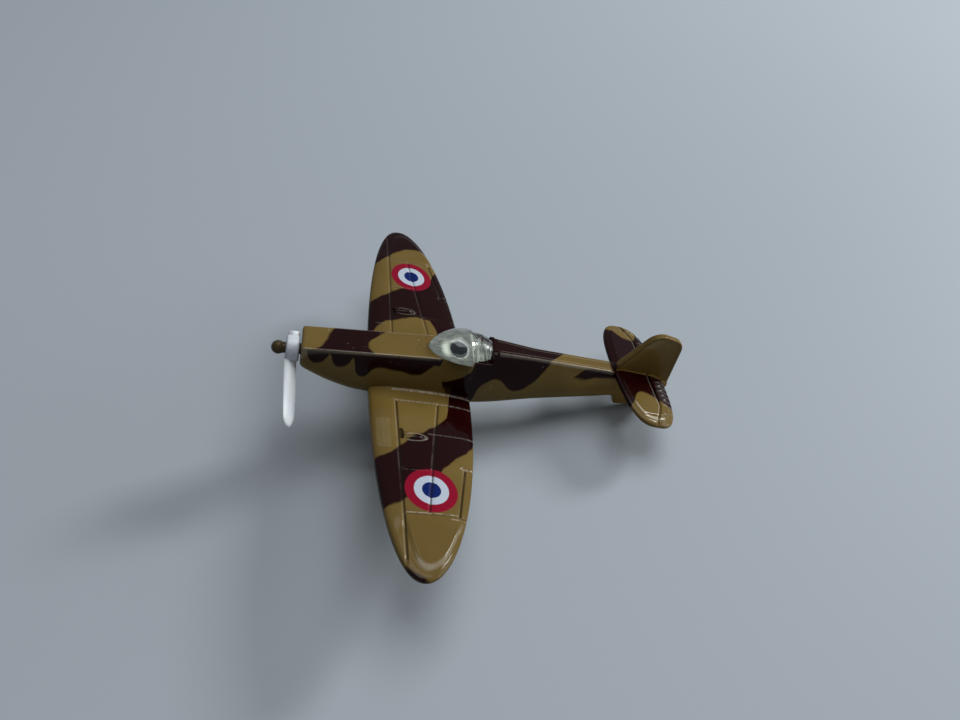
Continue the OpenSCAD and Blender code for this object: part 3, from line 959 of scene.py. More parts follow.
@dataclass(frozen=True)
class WearAndLight:
    """Rubbed paint and painted highlights on the raised lines and edges, and grime with painted shade in
    the grooves.
    """

    crests: tuple[Crest, ...] = (
        Crest(5.05, -5.6, 10.2, 0.36, 1.0), Crest(7.84, -5.0, 10.0, 0.19, 0.6),
        Crest(15.79, 0.2, 9.5, 0.16, 0.5), Crest(22.95, 5.2, 8.4, 0.16, 0.9),
        Crest(24.27, -4.6, 0.2, 0.12, 0.4), Crest(32.95, -4.6, 4.2, 0.16, 0.8),
        Crest(33.75, 2.4, 5.6, 0.14, 0.8),
    )
    slots: tuple[Slot, ...] = (Slot(-4.72, 0.0, 8.0, 41.4, 0.22), Slot(4.31, -0.153, 8.0, 32.9, 0.22),
                               Slot(11.39, -0.216, 23.2, 33.5, 0.26))
    nose_edge: Outline = ((-22, 3.0), (0, 3.15), (2.97, 3.27), (8.5, 4.1))
    spine_edge: Outline = ((13.3, 2.0), (21.65, 1.5), (38, 1.5))
    # Shares on the right wing, where the painted highlights and the painted groove shade are weaker.
    right_crests: float = 0.35
    right_rims: float = 0.5
    right_grime_shade: float = 0.6
    lip_share: float = 0.22
    lip_x: float = -0.30
    grime_shade_x: float = 0.08
    grime_shade_share: float = 0.9

    def right(self, y: Number, share: float) -> Number:
        """1 on the left wing and the given share on the right one."""
        return y.step(3, -3).most(share)

    def rubs_and_highlights(self, r: Recipe, x: Number, y: Number) -> Number:
        """Rubbed crests from the front of the wings to the back, which are also painted highlights.

        Args:
            r: The recipe.
            x: Place along the level airframe.
            y: Place across it.

        Returns:
            Share of rubbed paint and painted highlight.
        """
        total = 0.0
        for crest in self.crests:
            on = abs(abs(y) - crest.out).step(crest.wide, crest.wide * 0.35)
            on = on * x.window(crest.start, crest.end)
            total = (on * crest.share).most(total)
        broken = r.noise(1.9, 3, 0.65).step(0.32, 0.56)
        return total * broken * self.right(y, self.right_crests)

    def deck(self, r: Recipe, x: Number, y: Number, z: Number) -> Number:
        """Painted highlights along the rounded edges of the deck, with rubbed paint, in front of the canopy
        and behind it.

        Args:
            r: The recipe.
            x: Place along the level airframe.
            y: Place across it.
            z: Height over the propeller's axis.

        Returns:
            Share of painted highlight and rubbed paint.
        """
        front = abs(abs(y) - x.follow(self.nose_edge)).step(0.26, 0.05) * x.step(2.9, 2.5) * 0.5
        gap = abs(y) - x.follow(self.spine_edge)
        rear = (abs(gap - 0.02).step(0.30, 0.0) * 0.85).most(abs(gap + 0.62).step(0.13, 0.04) * 0.4)
        rear = rear * x.window(13.5, 38.2, 0.5, 0.6)
        return front.most(rear) * z.step(0.4, 0.8) * r.noise(0.9, 4, 0.7).step(0.25, 0.45)

    def tailplane(self, x: Number, y: Number, z: Number) -> Number:
        """Painted highlights, with rubbed paint, on the hinge, ribs and rim of the panels of the tailplane;
        the rim's highlight is on the left half only.

        Args:
            x: Place along the level airframe.
            y: Place across it.
            z: Height over the propeller's axis.

        Returns:
            Share of painted highlight and rubbed paint.
        """
        out = abs(y)
        along, across = abs(x - TAIL.middle_x) / 4.25, out / 12.75
        reach = ((along.power(TAIL.full) + across.power(TAIL.full)).root() - 1) * 6
        rim = abs(reach).step(0.30, 0.08) * x.step(45.7, 45.4) * out.step(8.6, 9.6)
        rim = rim * y.step(0.5, -0.5) * 0.9
        bend = (out - TAIL.bend_y).most(0) * TAIL.bend
        hinge = abs(x + bend - TAIL.hinge_x + 0.38).step(0.16, 0.05) * out.step(1.2, 1.5) * 0.55
        turn = (out - TAIL.rib_first) / TAIL.rib_pitch
        ribs = abs(turn.math("FRACT", turn) - 0.1).step(0.14, 0.05) * x.step(46.2, 47.5)
        ribs = ribs * out.window(1.2, 9.2, 0.2, 0.2) * 0.6
        return rim.most(hinge).most(ribs) * x.step(38, 39) * out.step(13.6, 13.2) * z.step(-0.9, -0.4)

    def blister_rim(self, x: Number, y: Number) -> Number:
        """Rubbed paint and painted highlight on the raised line round each blister, weaker on the right
        wing.

        Args:
            x: Place along the level airframe.
            y: Place across it.

        Returns:
            Share of rubbed paint and painted highlight.
        """
        along = (x - BLISTER.foot_x) / BLISTER.foot_along
        across = (abs(y) - BLISTER.out) / BLISTER.foot_across
        line = abs((along * along + across * across).root() - 1).step(0.20, 0.06)
        return line * x.step(-3.5, -2.8) * self.right(y, self.right_rims) * 0.8

    def tip_rim(self, x: Number, y: Number) -> Number:
        """Painted highlight along the rim of the raised panel near the left tip.

        Args:
            x: Place along the level airframe.
            y: Place across it.

        Returns:
            Share of painted highlight.
        """
        off = abs(y) - x.follow(TIP_PANEL)
        return abs(off + 0.1).step(0.75, 0.1) * x.window(-4.0, 4.9, 1.0, 1.3) * y.step(0.5, -0.5)

    def grime_and_shade(self, x: Number, y: Number) -> Number:
        """Grime and painted shade in the long grooves, along a line a little behind each groove.

        Args:
            x: Place along the level airframe.
            y: Place across it.

        Returns:
            Share of grime and painted shade.
        """
        out, total = abs(y), 0.0
        for slot in self.slots:
            gap = slot.across(x, out, self.grime_shade_x)
            on = gap.step(slot.wide, slot.wide * 0.3) * slot.along(out)
            total = (on * self.grime_shade_share).most(total)
        return total * self.right(y, self.right_grime_shade)

    def lips(self, r: Recipe, x: Number, y: Number, clear: Number) -> Number:
        """Painted light on the lit front lips of the long grooves, with rubbed paint.

        Args:
            r: The recipe.
            x: Place along the level airframe.
            y: Place across it.
            clear: A factor that is small where a marking covers them.

        Returns:
            Share of rubbed paint.
        """
        out, total = abs(y), 0.0
        for slot in self.slots:
            on = slot.across(x, out, self.lip_x).step(0.20, 0.05) * slot.along(out)
            total = on.most(total)
        broken = r.noise(0.7, 3, 0.6).step(0.30, 0.55)
        return total * broken * clear * self.right(y, self.right_rims) * self.lip_share


@dataclass(frozen=True)
class GlossPaint:
    """Thick gloss paint on the castings, plain or with the dark patches and roundels, with rubbed paint,
    painted highlights and painted shade.
    """

    name: str
    tan: Colour = (0.150, 0.096, 0.025)
    tan_pale: Colour = (0.172, 0.115, 0.033)
    # Painted shade for the left wing's outer part and the leading edges.
    tan_painted_shade: Colour = (0.085, 0.052, 0.012)
    # Lighter tan, painted light on the tail's sides and the fin's flats.
    tan_painted_light: Colour = (0.240, 0.142, 0.032)
    brown: Colour = (0.0122, 0.0008, 0.0006)
    red: Colour = (0.24, 0.003, 0.020)
    white: Colour = (0.47, 0.52, 0.60)
    blue: Colour = (0.003, 0.014, 0.110)
    # Pale colour of rubbed paint and of painted highlights.
    rubbed_highlight: Colour = (0.50, 0.44, 0.35)
    # Pale colour of the leading-edge patch: painted sheen with faded paint.
    faded_sheen: Colour = (0.20, 0.155, 0.075)
    # Dark colour of grime and of painted shade.
    soot_and_shade: Colour = (0.008, 0.005, 0.003)
    roundel_y: float = 28.3
    roundel_r: float = 4.4
    white_share: float = 0.66
    blue_share: float = 0.36
    wings_end: float = 15.5
    camouflage: Camouflage = Camouflage()
    wear_and_light: WearAndLight = WearAndLight()

    def rings(self, r: Recipe, x: Number, y: Number, colour: bpy.types.NodeSocket) -> bpy.types.NodeSocket:
        """Paints the roundels.

        Args:
            r: The recipe.
            x: Place along the level airframe.
            y: Place across it.
            colour: The colour under them.

        Returns:
            The colour with the roundels.
        """
        off = abs(y) - self.roundel_y
        reach = (x * x + off * off).root() / self.roundel_r + (r.noise(3.0, 2) - 0.5) * 0.02
        for share, paint in ((1.0, self.red), (self.white_share, self.white), (self.blue_share, self.blue)):
            colour = r.mix(reach.step(share + 0.012, share - 0.012), colour, paint)
        return colour

    def painted_shade(self, x: Number, y: Number) -> Number:
        """Share of the deeper tan, painted shade towards the left tip and along the leading edges."""
        edge = x.step(-5.0, -8.5) * abs(y).step(6, 9) * x.step(-16, -12)
        return (abs(y).step(20, 40) * y.step(0.5, -0.5) * self.on_wings(x)).most(edge)

    def painted_fill_light(self, x: Number, y: Number, z: Number) -> Number:
        """Share of the lighter, warmer tan, painted light on the sides of the tail and on the fin's flats.
        """
        side = x.step(26, 33) * abs(y).step(4.9, 4.5) * z.step(2.4, 1.8)
        return side.most(x.step(38.5, 39.2) * abs(abs(y) - 0.52).step(0.08, 0.04))

    def on_wings(self, x: Number) -> Number:
        """1 as far back as the wings reach and 0 behind them."""
        return x.step(self.wings_end + 0.5, self.wings_end - 0.5)

    def patched_tan(self, r: Recipe, x: Number, y: Number, z: Number, tan: bpy.types.NodeSocket,
                    dark: Number) -> bpy.types.NodeSocket:
        """Paints the painted shade and the painted light on the tan, the dark patches and the roundels.

        Args:
            r: The recipe.
            x: Place along the level airframe.
            y: Place across it.
            z: Height over the propeller's axis.
            tan: The tan.
            dark: Share of the dark paint.

        Returns:
            The colour.
        """
        # Deeper tan painted as shade on the left wing's outer part and along the leading edges.
        colour = r.mix(self.painted_shade(x, y) * 0.28, tan, self.tan_painted_shade)
        # Lighter tan painted as light on the tail's sides and the fin's flats.
        colour = r.mix(self.painted_fill_light(x, y, z) * 0.75, colour, self.tan_painted_light)
        return self.rings(r, x, y, r.mix(dark, colour, self.brown))

    def faded_sheen_panel(self, r: Recipe, x: Number, y: Number) -> Number:
        """Share of the pale colour on the raised patch of the left leading edge, a painted sheen with faded
        paint.
        """
        panel = x.window(-8.7, -5.9, 0.4, 0.4) * y.window(-19.6, -12.4, 0.4, 0.4)
        return panel * r.noise(2.0, 3, 0.6, (1.5, 0.2, 1)).step(0.2, 0.6) * 0.5

    def make(self, patched: bool) -> bpy.types.Material:
        """Builds the material.

        Args:
            patched: Whether it has the dark patches, the roundels, and the wear, painted highlights and
                painted shade of the upper casting.

        Returns:
            The material.
        """
        r = Recipe(self.name)
        x, y, z = r.level()
        colour = r.mix(r.noise(0.12, 3).step(0.35, 0.65) * 0.55, self.tan, self.tan_pale)
        ridge = r.edges()
        specks = r.noise(1.7, 2, 0.4).step(0.73, 0.76) * abs(y).step(5, 4) * z.step(1.5, 2.5) * 0.6
        # Pale paint on the ridges, edge wear and painted edge highlight, and rubbed specks on the deck.
        wear_and_painted_light = (ridge.step(0.58, 0.70) * r.noise(2.6, 3, 0.7).step(0.52, 0.66)).most(specks)
        # Darker in hollows and creases.
        grime_and_shade = ridge.step(0.46, 0.38)
        dark = mouth = 0.0
        if patched:
            dark = self.camouflage.patches(r, x, y, z)
            colour = self.patched_tan(r, x, y, z, colour, dark)
            # Painted sheen with faded paint on the leading-edge patch.
            colour = r.mix(self.faded_sheen_panel(r, x, y), colour, self.faded_sheen)
            # Painted highlight along the rim of the left tip's raised panel.
            colour = r.mix(self.wear_and_light.tip_rim(x, y) * 0.28, colour, self.rubbed_highlight)
            clear = abs(abs(y) - self.roundel_y).step(self.roundel_r - 0.6, self.roundel_r).most(0.35)
            wing = self.on_wings(x)
            # Rubbed paint and painted highlights on the wings' lines, groove lips, blister rims, deck edges
            # and tailplane.
            wear_and_painted_light = wear_and_painted_light.most(self.wear_and_light.rubs_and_highlights(r, x, y) * wing).most(self.wear_and_light.lips(r, x, y, clear) * wing)
            wear_and_painted_light = wear_and_painted_light.most(self.wear_and_light.blister_rim(x, y)).most(self.wear_and_light.deck(r, x, y, z))
            wear_and_painted_light = wear_and_painted_light.most(self.wear_and_light.tailplane(x, y, z))
            # Near-black painted shade inside each blister's mouth, rough and without coat there.
            along, across = (x + 4.2) / 0.55, (abs(y) - 16.25) / 1.3
            mouth = (along * along + across * across).step(1.2, 0.8)
            # Grime and painted shade in the grooves, and painted shade in the blisters' mouths, join the
            # darkening in hollows.
            grime_and_shade = grime_and_shade.most(self.wear_and_light.grime_and_shade(x, y) * wing).most(mouth)
        colour = r.mix(grime_and_shade * 0.8, colour, self.soot_and_shade)
        # Pale paint for wear and painted highlights, weaker on the dark patches.
        colour = r.mix(wear_and_painted_light * 0.7 * (1 - dark * 0.45), colour, self.rubbed_highlight)
        fine = r.noise(6.0, 2)
        elevators = x.step(46.2, 46.8) * z.step(-1.5, -1.0) * abs(y).step(9.2, 8.8)
        rough = 0.17 + (fine - 0.5) * 0.12 + grime_and_shade * 0.25 + wear_and_painted_light * 0.15 + mouth * 0.4 + elevators * 0.22
        return r.finish(Base_Color=colour, Roughness=rough, Metallic=wear_and_painted_light * 0.2,
                        Coat_Weight=0.14 * (1 - mouth), Coat_Roughness=0.07, Specular_IOR_Level=0.05,
                        Normal=r.bump(fine, 0.004, r.bump(r.noise(0.9, 2), 0.03)))


@dataclass(frozen=True)
class Moulding:
    """Injection-moulded plastic with a faint flow pattern."""

    name: str
    colour: Colour
    shade: Colour
    rough: float
    through: float = 0.0
    shaded_core: Colour | None = None
    core_r: float = 2.45

    def make(self) -> bpy.types.Material:
        """Builds the material.

        Returns:
            The material, with a darker core where it has one: painted shade and the dark spindle seen
            through the hub.
        """
        r = Recipe(self.name)
        flow = r.noise(0.35, 4, 0.6, (1, 1, 0.3))
        grain = r.noise(9.0, 2)
        shade = flow.step(0.35, 0.7) * 0.7 + r.edges().step(0.48, 0.4) * 0.3
        colour = r.mix(shade, self.colour, self.shade)
        # Darker core round the propeller's axis: painted shade and the dark spindle seen through the hub.
        if self.shaded_core:
            x, y, z = r.level()
            out = (y * y + z * z).root()
            colour = r.mix(out.step(self.core_r + 0.15, self.core_r - 0.25), colour, self.shaded_core)
        rough = self.rough + (grain - 0.5) * 0.15 + (flow - 0.5) * 0.1
        return r.finish(Base_Color=colour, Roughness=rough, Normal=r.bump(grain, 0.004),
                        Subsurface_Weight=self.through, Subsurface_Scale=0.002)


@dataclass(frozen=True)
class FrostedFoot:
    """Rough underside of the clear moulding, seen through it, with painted light: a bright ring and
    crescent round the peg and bright bars behind it.
    """

    name: str
    colour: Colour = (0.235, 0.245, 0.208)
    shade: Colour = (0.062, 0.072, 0.067)
    glow: Colour = (0.62, 0.65, 0.56)
    dark: Colour = (0.030, 0.036, 0.038)
    peg_x: float = PEG_X
    peg_y: float = -0.32
    peg_r: float = 1.58
    squeeze: float = 0.79
    rear_x: float = 8.4

    def make(self) -> bpy.types.Material:
        """Builds the material.

        Returns:
            The material, with a dark peg, a painted bright ring and crescent of light round it, and painted
            bright bars behind it.
        """
        r = Recipe(self.name)
        x, y, z = r.level()
        streak = r.noise(1.1, 4, 0.7, (0.5, 1.6, 1))
        grain = r.noise(5.0, 3, 0.6)
        colour = r.mix((streak - 0.5) * 2.6 + grain * 0.6 + 0.1, self.shade, self.colour)
        away, across = x - self.peg_x, (y - self.peg_y) * self.squeeze
        reach = (away * away + across * across).root() - self.peg_r
        # Painted light: a bright ring at the peg's edge, a crescent of light bent through the bubble, and
        # bright bars behind the peg.
        ring = reach.step(0.5, 0.1) * r.noise(1.5, 2).step(0.35, 0.6).most(0.3)
        crescent = abs(reach - 0.8).step(1.1, 0.0) * away.step(-0.3, -2.0) * abs(across).step(2.2, 0.2)
        bars = r.noise(1.2, 2, 0.5, (1.6, 0.1, 0.1)).step(0.5, 0.62)
        bars = bars * x.step(self.rear_x, self.rear_x + 0.2)
        light = (ring * 0.7).most(crescent * 1.3 * streak.step(0.1, 0.6)).most(bars * 0.5)
        colour = r.mix(light, colour, self.glow)
        colour = r.mix(reach.step(0.08, -0.05), colour, self.dark)
        return r.finish(Base_Color=colour, Roughness=0.4 + (grain - 0.5) * 0.3, Normal=r.bump(grain, 0.02))


@dataclass(frozen=True)
class BareMetal:
    """Turned or headed metal with fine marks and a little tarnish."""

    name: str
    colour: Colour
    tarnish: Colour
    rough: float

    def make(self) -> bpy.types.Material:
        """Builds the material."""
        r = Recipe(self.name)
        marks = r.noise(7.0, 3, 0.6, (1, 0.15, 1))
        stain = r.noise(0.8, 3)
        colour = r.mix(stain.step(0.45, 0.7), self.colour, self.tarnish)
        rough = self.rough + (marks - 0.5) * 0.2 + stain.step(0.5, 0.75) * 0.15
        return r.finish(Base_Color=colour, Roughness=rough, Metallic=1.0, Normal=r.bump(marks, 0.006))


@dataclass(frozen=True)
class ClearPlastic:
    """Clear plastic, slightly yellowed, with faint ripples and a painted highlight along its rear part."""

    name: str
    colour: Colour = (0.90, 0.92, 0.84)
    pale: Colour = (0.97, 0.98, 0.95)
    crown_glint_y: float = -1.45

    def make(self) -> bpy.types.Material:
        """Builds the material.

        Returns:
            The material, with a painted highlight, a bright metallic streak, along the rear part beside its
            crown.
        """
        r = Recipe(self.name)
        x, y, z = r.level()
        ripple = r.noise(0.5, 2)
        # Painted highlight: a broken metallic streak that stands in for a reflection along the rear part.
        crown = abs(y - self.crown_glint_y).step(0.42, 0.05) * x.window(8.2, 12.1, 0.6, 0.5) * z.step(4.4, 4.8)
        crown = crown * r.noise(1.6, 3, 0.7).step(0.40, 0.7)
        return r.finish(Base_Color=r.mix(ripple, self.colour, self.pale),
                        Roughness=0.03 + r.noise(3.0, 3).step(0.5, 0.8) * 0.12, Metallic=crown * 0.30,
                        Transmission_Weight=1.0, IOR=1.12, Coat_Weight=1.0, Coat_Roughness=0.04,
                        Normal=r.bump(ripple, 0.06))


# ---- The airframe ----

@dataclass(frozen=True)
class WingPlan:
    """Outline, parting surface and surface lines of the wings."""

    half: float = 44.6
    front: float = 7.6
    front_full: float = 2.35
    rear: float = 12.0
    rear_full: float = 1.85
    tips_x: float = -2.0
    tip_edge: float = 0.35
    parting_depth: float = 5.3
    rise: float = math.tan(math.radians(4.4))
    fall: float = math.tan(math.radians(3.0))
    seam: float = 0.06
    lip: float = 0.16
    plateau: Outline = TIP_PANEL
    fine: tuple[Run, ...] = (((-5.2, 8.0), (12, 8.0)), ((-4.8, 15.95), (12, 15.95)),
                             ((-4.8, 24.1), (0.4, 24.1)), ((-4.8, 33.2), (4.0, 33.2)))
    wide: tuple[Run, ...] = (((-4.8, 8.0), (-4.8, 41.6)), ((3.1, 8.0), (-0.71, 32.8)))
    aileron: Run = ((6.3, 23.1), (4.07, 33.4))
    aileron_ends: tuple[Run, ...] = (((5.9, 23.1), (12, 23.1)), ((4.07, 33.55), (8, 33.55)))

    def front_x(self, y: Points) -> Points:
        """Leading edge."""
        return self.tips_x - np.maximum(self.tip_edge, self.front * oval(y / self.half, self.front_full))

    def rear_x(self, y: Points) -> Points:
        """Trailing edge."""
        return self.tips_x + np.maximum(self.tip_edge, self.rear * oval(y / self.half, self.rear_full))

    def parting(self, x: Points, y: Points) -> Points:
        """Height of the parting surface."""
        return -self.parting_depth + np.abs(y) * self.rise - (x - self.tips_x) * self.fall

    def parting_at(self, x: float, y: float) -> float:
        """Height of the parting surface at one point."""
        return float(self.parting(np.array(x), np.array(y)))

    def outline(self) -> Points:
        """Corners of the whole outline."""
        y = self.half * np.sin(np.linspace(-np.pi / 2, np.pi / 2, 161))
        return np.concatenate([np.stack([self.front_x(y), y], 1), np.stack([self.rear_x(y), y], 1)[::-1]])

    def rows(self) -> Points:
        """Stations across the span, closer together at the surface lines and tips."""
        lines = [8.0, 15.95, 23.1, 24.1, 33.2, 33.55]
        near = [np.arange(0, 4.1, 0.8), np.arange(4.2, 6.7, 0.22), np.arange(6.9, 34, 0.62),
                np.arange(34, 43.3, 0.42), self.half - np.array([1.1, 0.8, 0.55, 0.35, 0.2, 0.1, 0.03, 0])]
        near += [c + np.array([-0.3, -0.2, -0.1, 0, 0.1, 0.2, 0.3]) for c in lines]
        near += [c + np.array([-0.15, 0, 0.15]) for c in (12.6, 19.4)]
        half = np.unique(np.round(np.concatenate(near), 3))
        half = half[np.concatenate([[True], np.diff(half) > 0.05])]
        return np.concatenate([-half[:0:-1], half])

    def columns(self, y: Points) -> Points:
        """Places along the chord at each station, which follow the surface lines.

        Args:
            y: The stations.

        Returns:
            An array of places by column and station.
        """
        a, b, out = self.front_x(y), self.rear_x(y), np.abs(y)
        chord = b - a
        keys = [a, np.maximum(-4.8, a + 0.05 * chord),
                np.minimum(3.1 - 0.153 * (out - 7.9), a + 0.66 * chord),
                np.minimum(6.3 - 0.216 * (out - 23.1), a + 0.86 * chord), b]
        half = 0.42 * np.clip(chord / 9, 0.08, 1)
        cuts = [1 - np.cos(np.linspace(0, np.pi / 2, 13)), np.linspace(0, 1, 15), np.linspace(0, 1, 6),
                np.sin(np.linspace(0, np.pi / 2, 10))]
        places = []
        for k, share in enumerate(cuts):
            low = keys[k] + (half if k else 0)
            high = keys[k + 1] - (half if k < 3 else 0)
            places += [low + (high - low) * t for t in share]
            if k < 3:
                places += [keys[k + 1] + s * half for s in (-0.72, -0.45, -0.2, 0, 0.2, 0.45, 0.72)]
        return np.array(places)

    def groove(self, distance: Points, width: float, depth: float) -> Points:
        """Relief of a groove with rounded lips.

        Args:
            distance: Distance to the groove's line.
            width: Half width of the groove.
            depth: Its depth.

        Returns:
            The relief, negative in the groove.
        """
        return -depth * 0.5 * (1 + np.cos(np.pi * np.minimum(1, distance / width)))

    def lines(self, x: Points, y: Points) -> Points:
        """Relief of the surface lines: grooves, the aileron's slot and the raised patch.

        Args:
            x: Place along the chord.
            y: Place across the span.

        Returns:
            The relief.
        """
        out, relief = np.abs(y), np.zeros_like(x)
        deep = (self.aileron, *self.aileron_ends)
        for runs, half, depth in ((self.fine, 0.22, 0.14), (self.wide, 0.42, 0.14), (deep, 0.36, 0.24)):
            for start, end in runs:
                relief = np.minimum(relief, self.groove(segment_distance(x, out, start, end), half, depth))
        patch = ease(x, -8.6, -8.35) * (1 - ease(x, -6.25, -6.0))
        patch = patch * ease(out, 12.5, 12.75) * (1 - ease(out, 19.3, 19.5))
        return relief + 0.05 * patch

    def thickness(self, y: Points, root: float, tip: float) -> Points:
        """Greatest thickness of one wing half.

        Args:
            y: The stations.
            root: Thickness at the root.
            tip: Thickness at the tip.

        Returns:
            The thickness at each station.
        """
        share = (np.abs(y) / self.half) ** 1.5
        return (root + (tip - root) * share) * np.maximum(0.35, oval(y / self.half, 9))

    def arch(self, x: Points, y: Points, gap: Points) -> Points:
        """Share of the thickness at each point.

        Args:
            x: Place along the chord.
            y: Place across the span.
            gap: Distance to the outline.

        Returns:
            The share, from 0 at the edge to 1 at the crown.
        """
        a, b = self.front_x(y), self.rear_x(y)
        c = np.clip((x - a) / (b - a), 0, 1)
        inner = oval(2 * c ** 0.75 - 1, 2.4)
        round_off = oval(1 - np.clip(gap / 1.3, 0, 1), 2.2)
        raised = ease(depth_inside(x, np.abs(y), np.array(self.plateau)), -0.45, 0.4)
        outer = 0.72 * round_off + 0.28 * raised
        tip = ease(np.abs(y), 33.6, 36.5)
        return inner * (1 - tip) + outer * tip


@dataclass
class UpperCasting:
    """Fuselage top, upper wing halves, tailplane, fin and tail block."""

    wing: WingPlan
    paint: GlossPaint
    root_t: float = 1.55
    tip_t: float = 1.05
    nose_round: float = 0.5
    tail_x: float = 51
    lip: float = 0.22
    sill: float = 0.7
    sill_front: float = 12.45
    sill_rear: float = 13.12
    fin_thick: float = 1.3
    fin_circles: tuple[tuple[float, float, float], ...] = (
        (45.5, 8.5, 3.39), (47.637, 8.724, 2.68), (38.2, 1.6, 0.6), (50.517, -0.2, 0.6))
    sections: tuple[tuple[float, float, float, float], ...] = (
        (-22, 3.1, -0.32, -2.7), (-20.24, 3.42, -0.8, -3.9), (-16.5, 3.9, -2, -5.78),
        (-11.44, 4.44, -3.12, -7.2), (2, 4.7, -4, -8.4), (12.2, 4.3, -4, -8.4),
        (23.294, 3.455, -2.72, -6.65), (38, 2.35, -1.2, -4.9), (45.67, 1.77, -0.8, -3.29),
        (51, 0.9, -0.32, -1.4),
    )
    deck: tuple[tuple[float, float, float], ...] = (
        (-22, 3, 3), (0, 3.5, 3.15), (2.97, 3.5, 3.27), (8.5, 3.5, 4.1), (9.29, 3.5, 3.6),
        (12.45, 3.5, 3.6), (12.5, 5.3, 2.6), (13.1, 5.3, 2.6), (13.15, 5.3, 2), (21.65, 4.2, 1.5),
        (38, 2.7, 1.5), (45.67, 1.74, 1.3), (51, 0.4, 0.72),
    )

    def hull(self, x: float) -> tuple[float, float, float]:
        """Cross-section of the fuselage.

        Args:
            x: Place along it.

        Returns:
            Half width, height of the waist and height of the keel.
        """
        s = np.array(self.sections, float)
        i = int(np.clip(np.searchsorted(s[:, 0], x, side="right") - 1, 0, len(s) - 2))

        def slope(k: int) -> Points:
            """Slope of the smooth curve at one of the sections."""
            a, b = s[max(k - 1, 0)], s[min(k + 1, len(s) - 1)]
            return (b - a) / (b[0] - a[0])

        w = s[i + 1, 0] - s[i, 0]
        t = (x - s[i, 0]) / w
        value = ((2 * t**3 - 3 * t**2 + 1) * s[i] + (t**3 - 2 * t**2 + t) * w * slope(i)
                 + (3 * t**2 - 2 * t**3) * s[i + 1] + (t**3 - t**2) * w * slope(i + 1))
        return tuple(value[1:])

    def ring(self, x: float, inset: float = 0) -> Points:
        """One ring of the fuselage.

        Args:
            x: Place along it.
            inset: How far the ring is drawn in.

        Returns:
            The ring's points.
        """
        d = np.array(self.deck, float)
        top = np.interp(x, d[:, 0], d[:, 1]) - inset
        edge = np.interp(x, d[:, 0], d[:, 2]) - inset
        side, side_z, keel = self.hull(x)
        side, keel = side - inset, keel + inset
        lip = self.lip + self.sill * (self.sill_front < x < self.sill_rear)
        half = [(edge * k / 4, top) for k in range(1, 4)]
        fall = np.array([edge + (side - edge) * math.sin(0.2), top + (side_z - top) * 0.13]) - (edge, top)
        fall = fall / np.hypot(*fall) * lip
        half += [(edge - lip, top), (edge - lip * 0.3, top - lip * 0.06),
                 (edge + fall[0] * 0.3, top + fall[1] * 0.3 - lip * 0.04), (edge + fall[0], top + fall[1])]
        for k in range(1, 13):
            t = k / 12
            half.append((edge + (side - edge) * math.sin(t * math.pi / 2), top + (side_z - top) * t))
        for k in range(1, 12):
            a = k / 12 * math.pi / 2
            half.append((side * math.cos(a), side_z - (side_z - keel) * math.sin(a)))
        half = np.array(half)
        full = np.concatenate([[(0, top)], half, [(0, keel)], half[::-1] * (-1, 1)])
        return np.column_stack([np.full(len(full), x), full])

    def form(self, name: str) -> Piece:
        """The whole fuselage before it is parted.

        Args:
            name: Name of the piece.

        Returns:
            The piece.
        """
        nose, r = self.sections[0][0], self.nose_round
        rings = [self.ring(nose + r * (1 - math.cos(a)), r * (1 - math.sin(a)))
                 for a in np.linspace(0, np.pi / 2, 5)]
        runs = ((nose + r, 2.97, 44), (2.97, 8.5, 12), (8.5, 9.29, 4), (9.29, self.sill_front, 7))
        front = [np.linspace(*run)[1:] for run in runs]
        rear = [[12.5, 12.7, 12.9, 13.1], np.linspace(13.15, self.tail_x, 64)]
        rings += [self.ring(x) for x in np.concatenate([*front, *rear])]
        return Bench.tube(name, np.array(rings))

    def below(self, name: str, start: float, end: float, drop: float) -> Piece:
        """Everything under the parting surface, between two places along the body.

        Args:
            name: Name of the piece.
            start: The front place.
            end: The rear place.
            drop: How far under the parting surface it ends.

        Returns:
            The piece.
        """
        def place(i: Points, j: Points, top: Points) -> Points:
            """Corners of the piece."""
            x = np.where(i == 0, start, end)
            y = (j - 1) * 46.0
            return np.column_stack([x, y, np.where(top, self.wing.parting(x, y) - drop, -25)])

        return Bench.plate(name, 1, 2, place)

    def fairing(self, xs: Points, ys: Points) -> Points:
        """Rounded corner between the wings and the fuselage.

        Args:
            xs: Place along the chord.
            ys: Place across the span.

        Returns:
            Its height over the wing.
        """
        w = self.wing
        side = np.array([[self.hull(float(x))[0] for x in row] for row in xs])
        share = np.clip((xs - w.front_x(ys)) / (w.rear_x(ys) - w.front_x(ys)), 0, 1)
        reach = 0.6 * ease(share, 0.02, 0.2)
        away = np.clip(np.abs(ys) - side + 0.25, 0, None)
        drop = np.sqrt(np.maximum(0, reach**2 - np.maximum(0, reach - away) ** 2))
        return np.minimum(np.where(reach > 0.05, reach - drop, 0), 0.6)

    def crest(self, xs: Points, ys: Points) -> Points:
        """Low ridge along the root of each wing."""
        return 0.06 * bell(np.abs(ys), 5.05, 0.16) * ease(xs, -6.0, -5.0) * (1 - ease(xs, 9.6, 10.2))

    def wings(self) -> Piece:
        """Both upper wing halves with their surface lines and root fairings.

        Returns:
            The wings, ready to be joined to the fuselage.
        """
        w = self.wing
        stations = w.rows()
        xs = w.columns(stations)
        ys = np.broadcast_to(stations, xs.shape)
        gap = edge_distance(xs, ys, w.outline())
        crown = w.thickness(ys, self.root_t, self.tip_t)
        rise = w.lip + (crown - w.lip) * w.arch(xs, ys, gap)
        inside = ease(gap, 0.0, 0.5)
        rise = rise + w.lines(xs, ys) * np.where(np.abs(ys) > 22, 0.45 + 0.55 * inside, inside)
        rise = rise + self.fairing(xs, ys) + self.crest(xs, ys)
        low = w.parting(xs, ys) + w.seam / 2

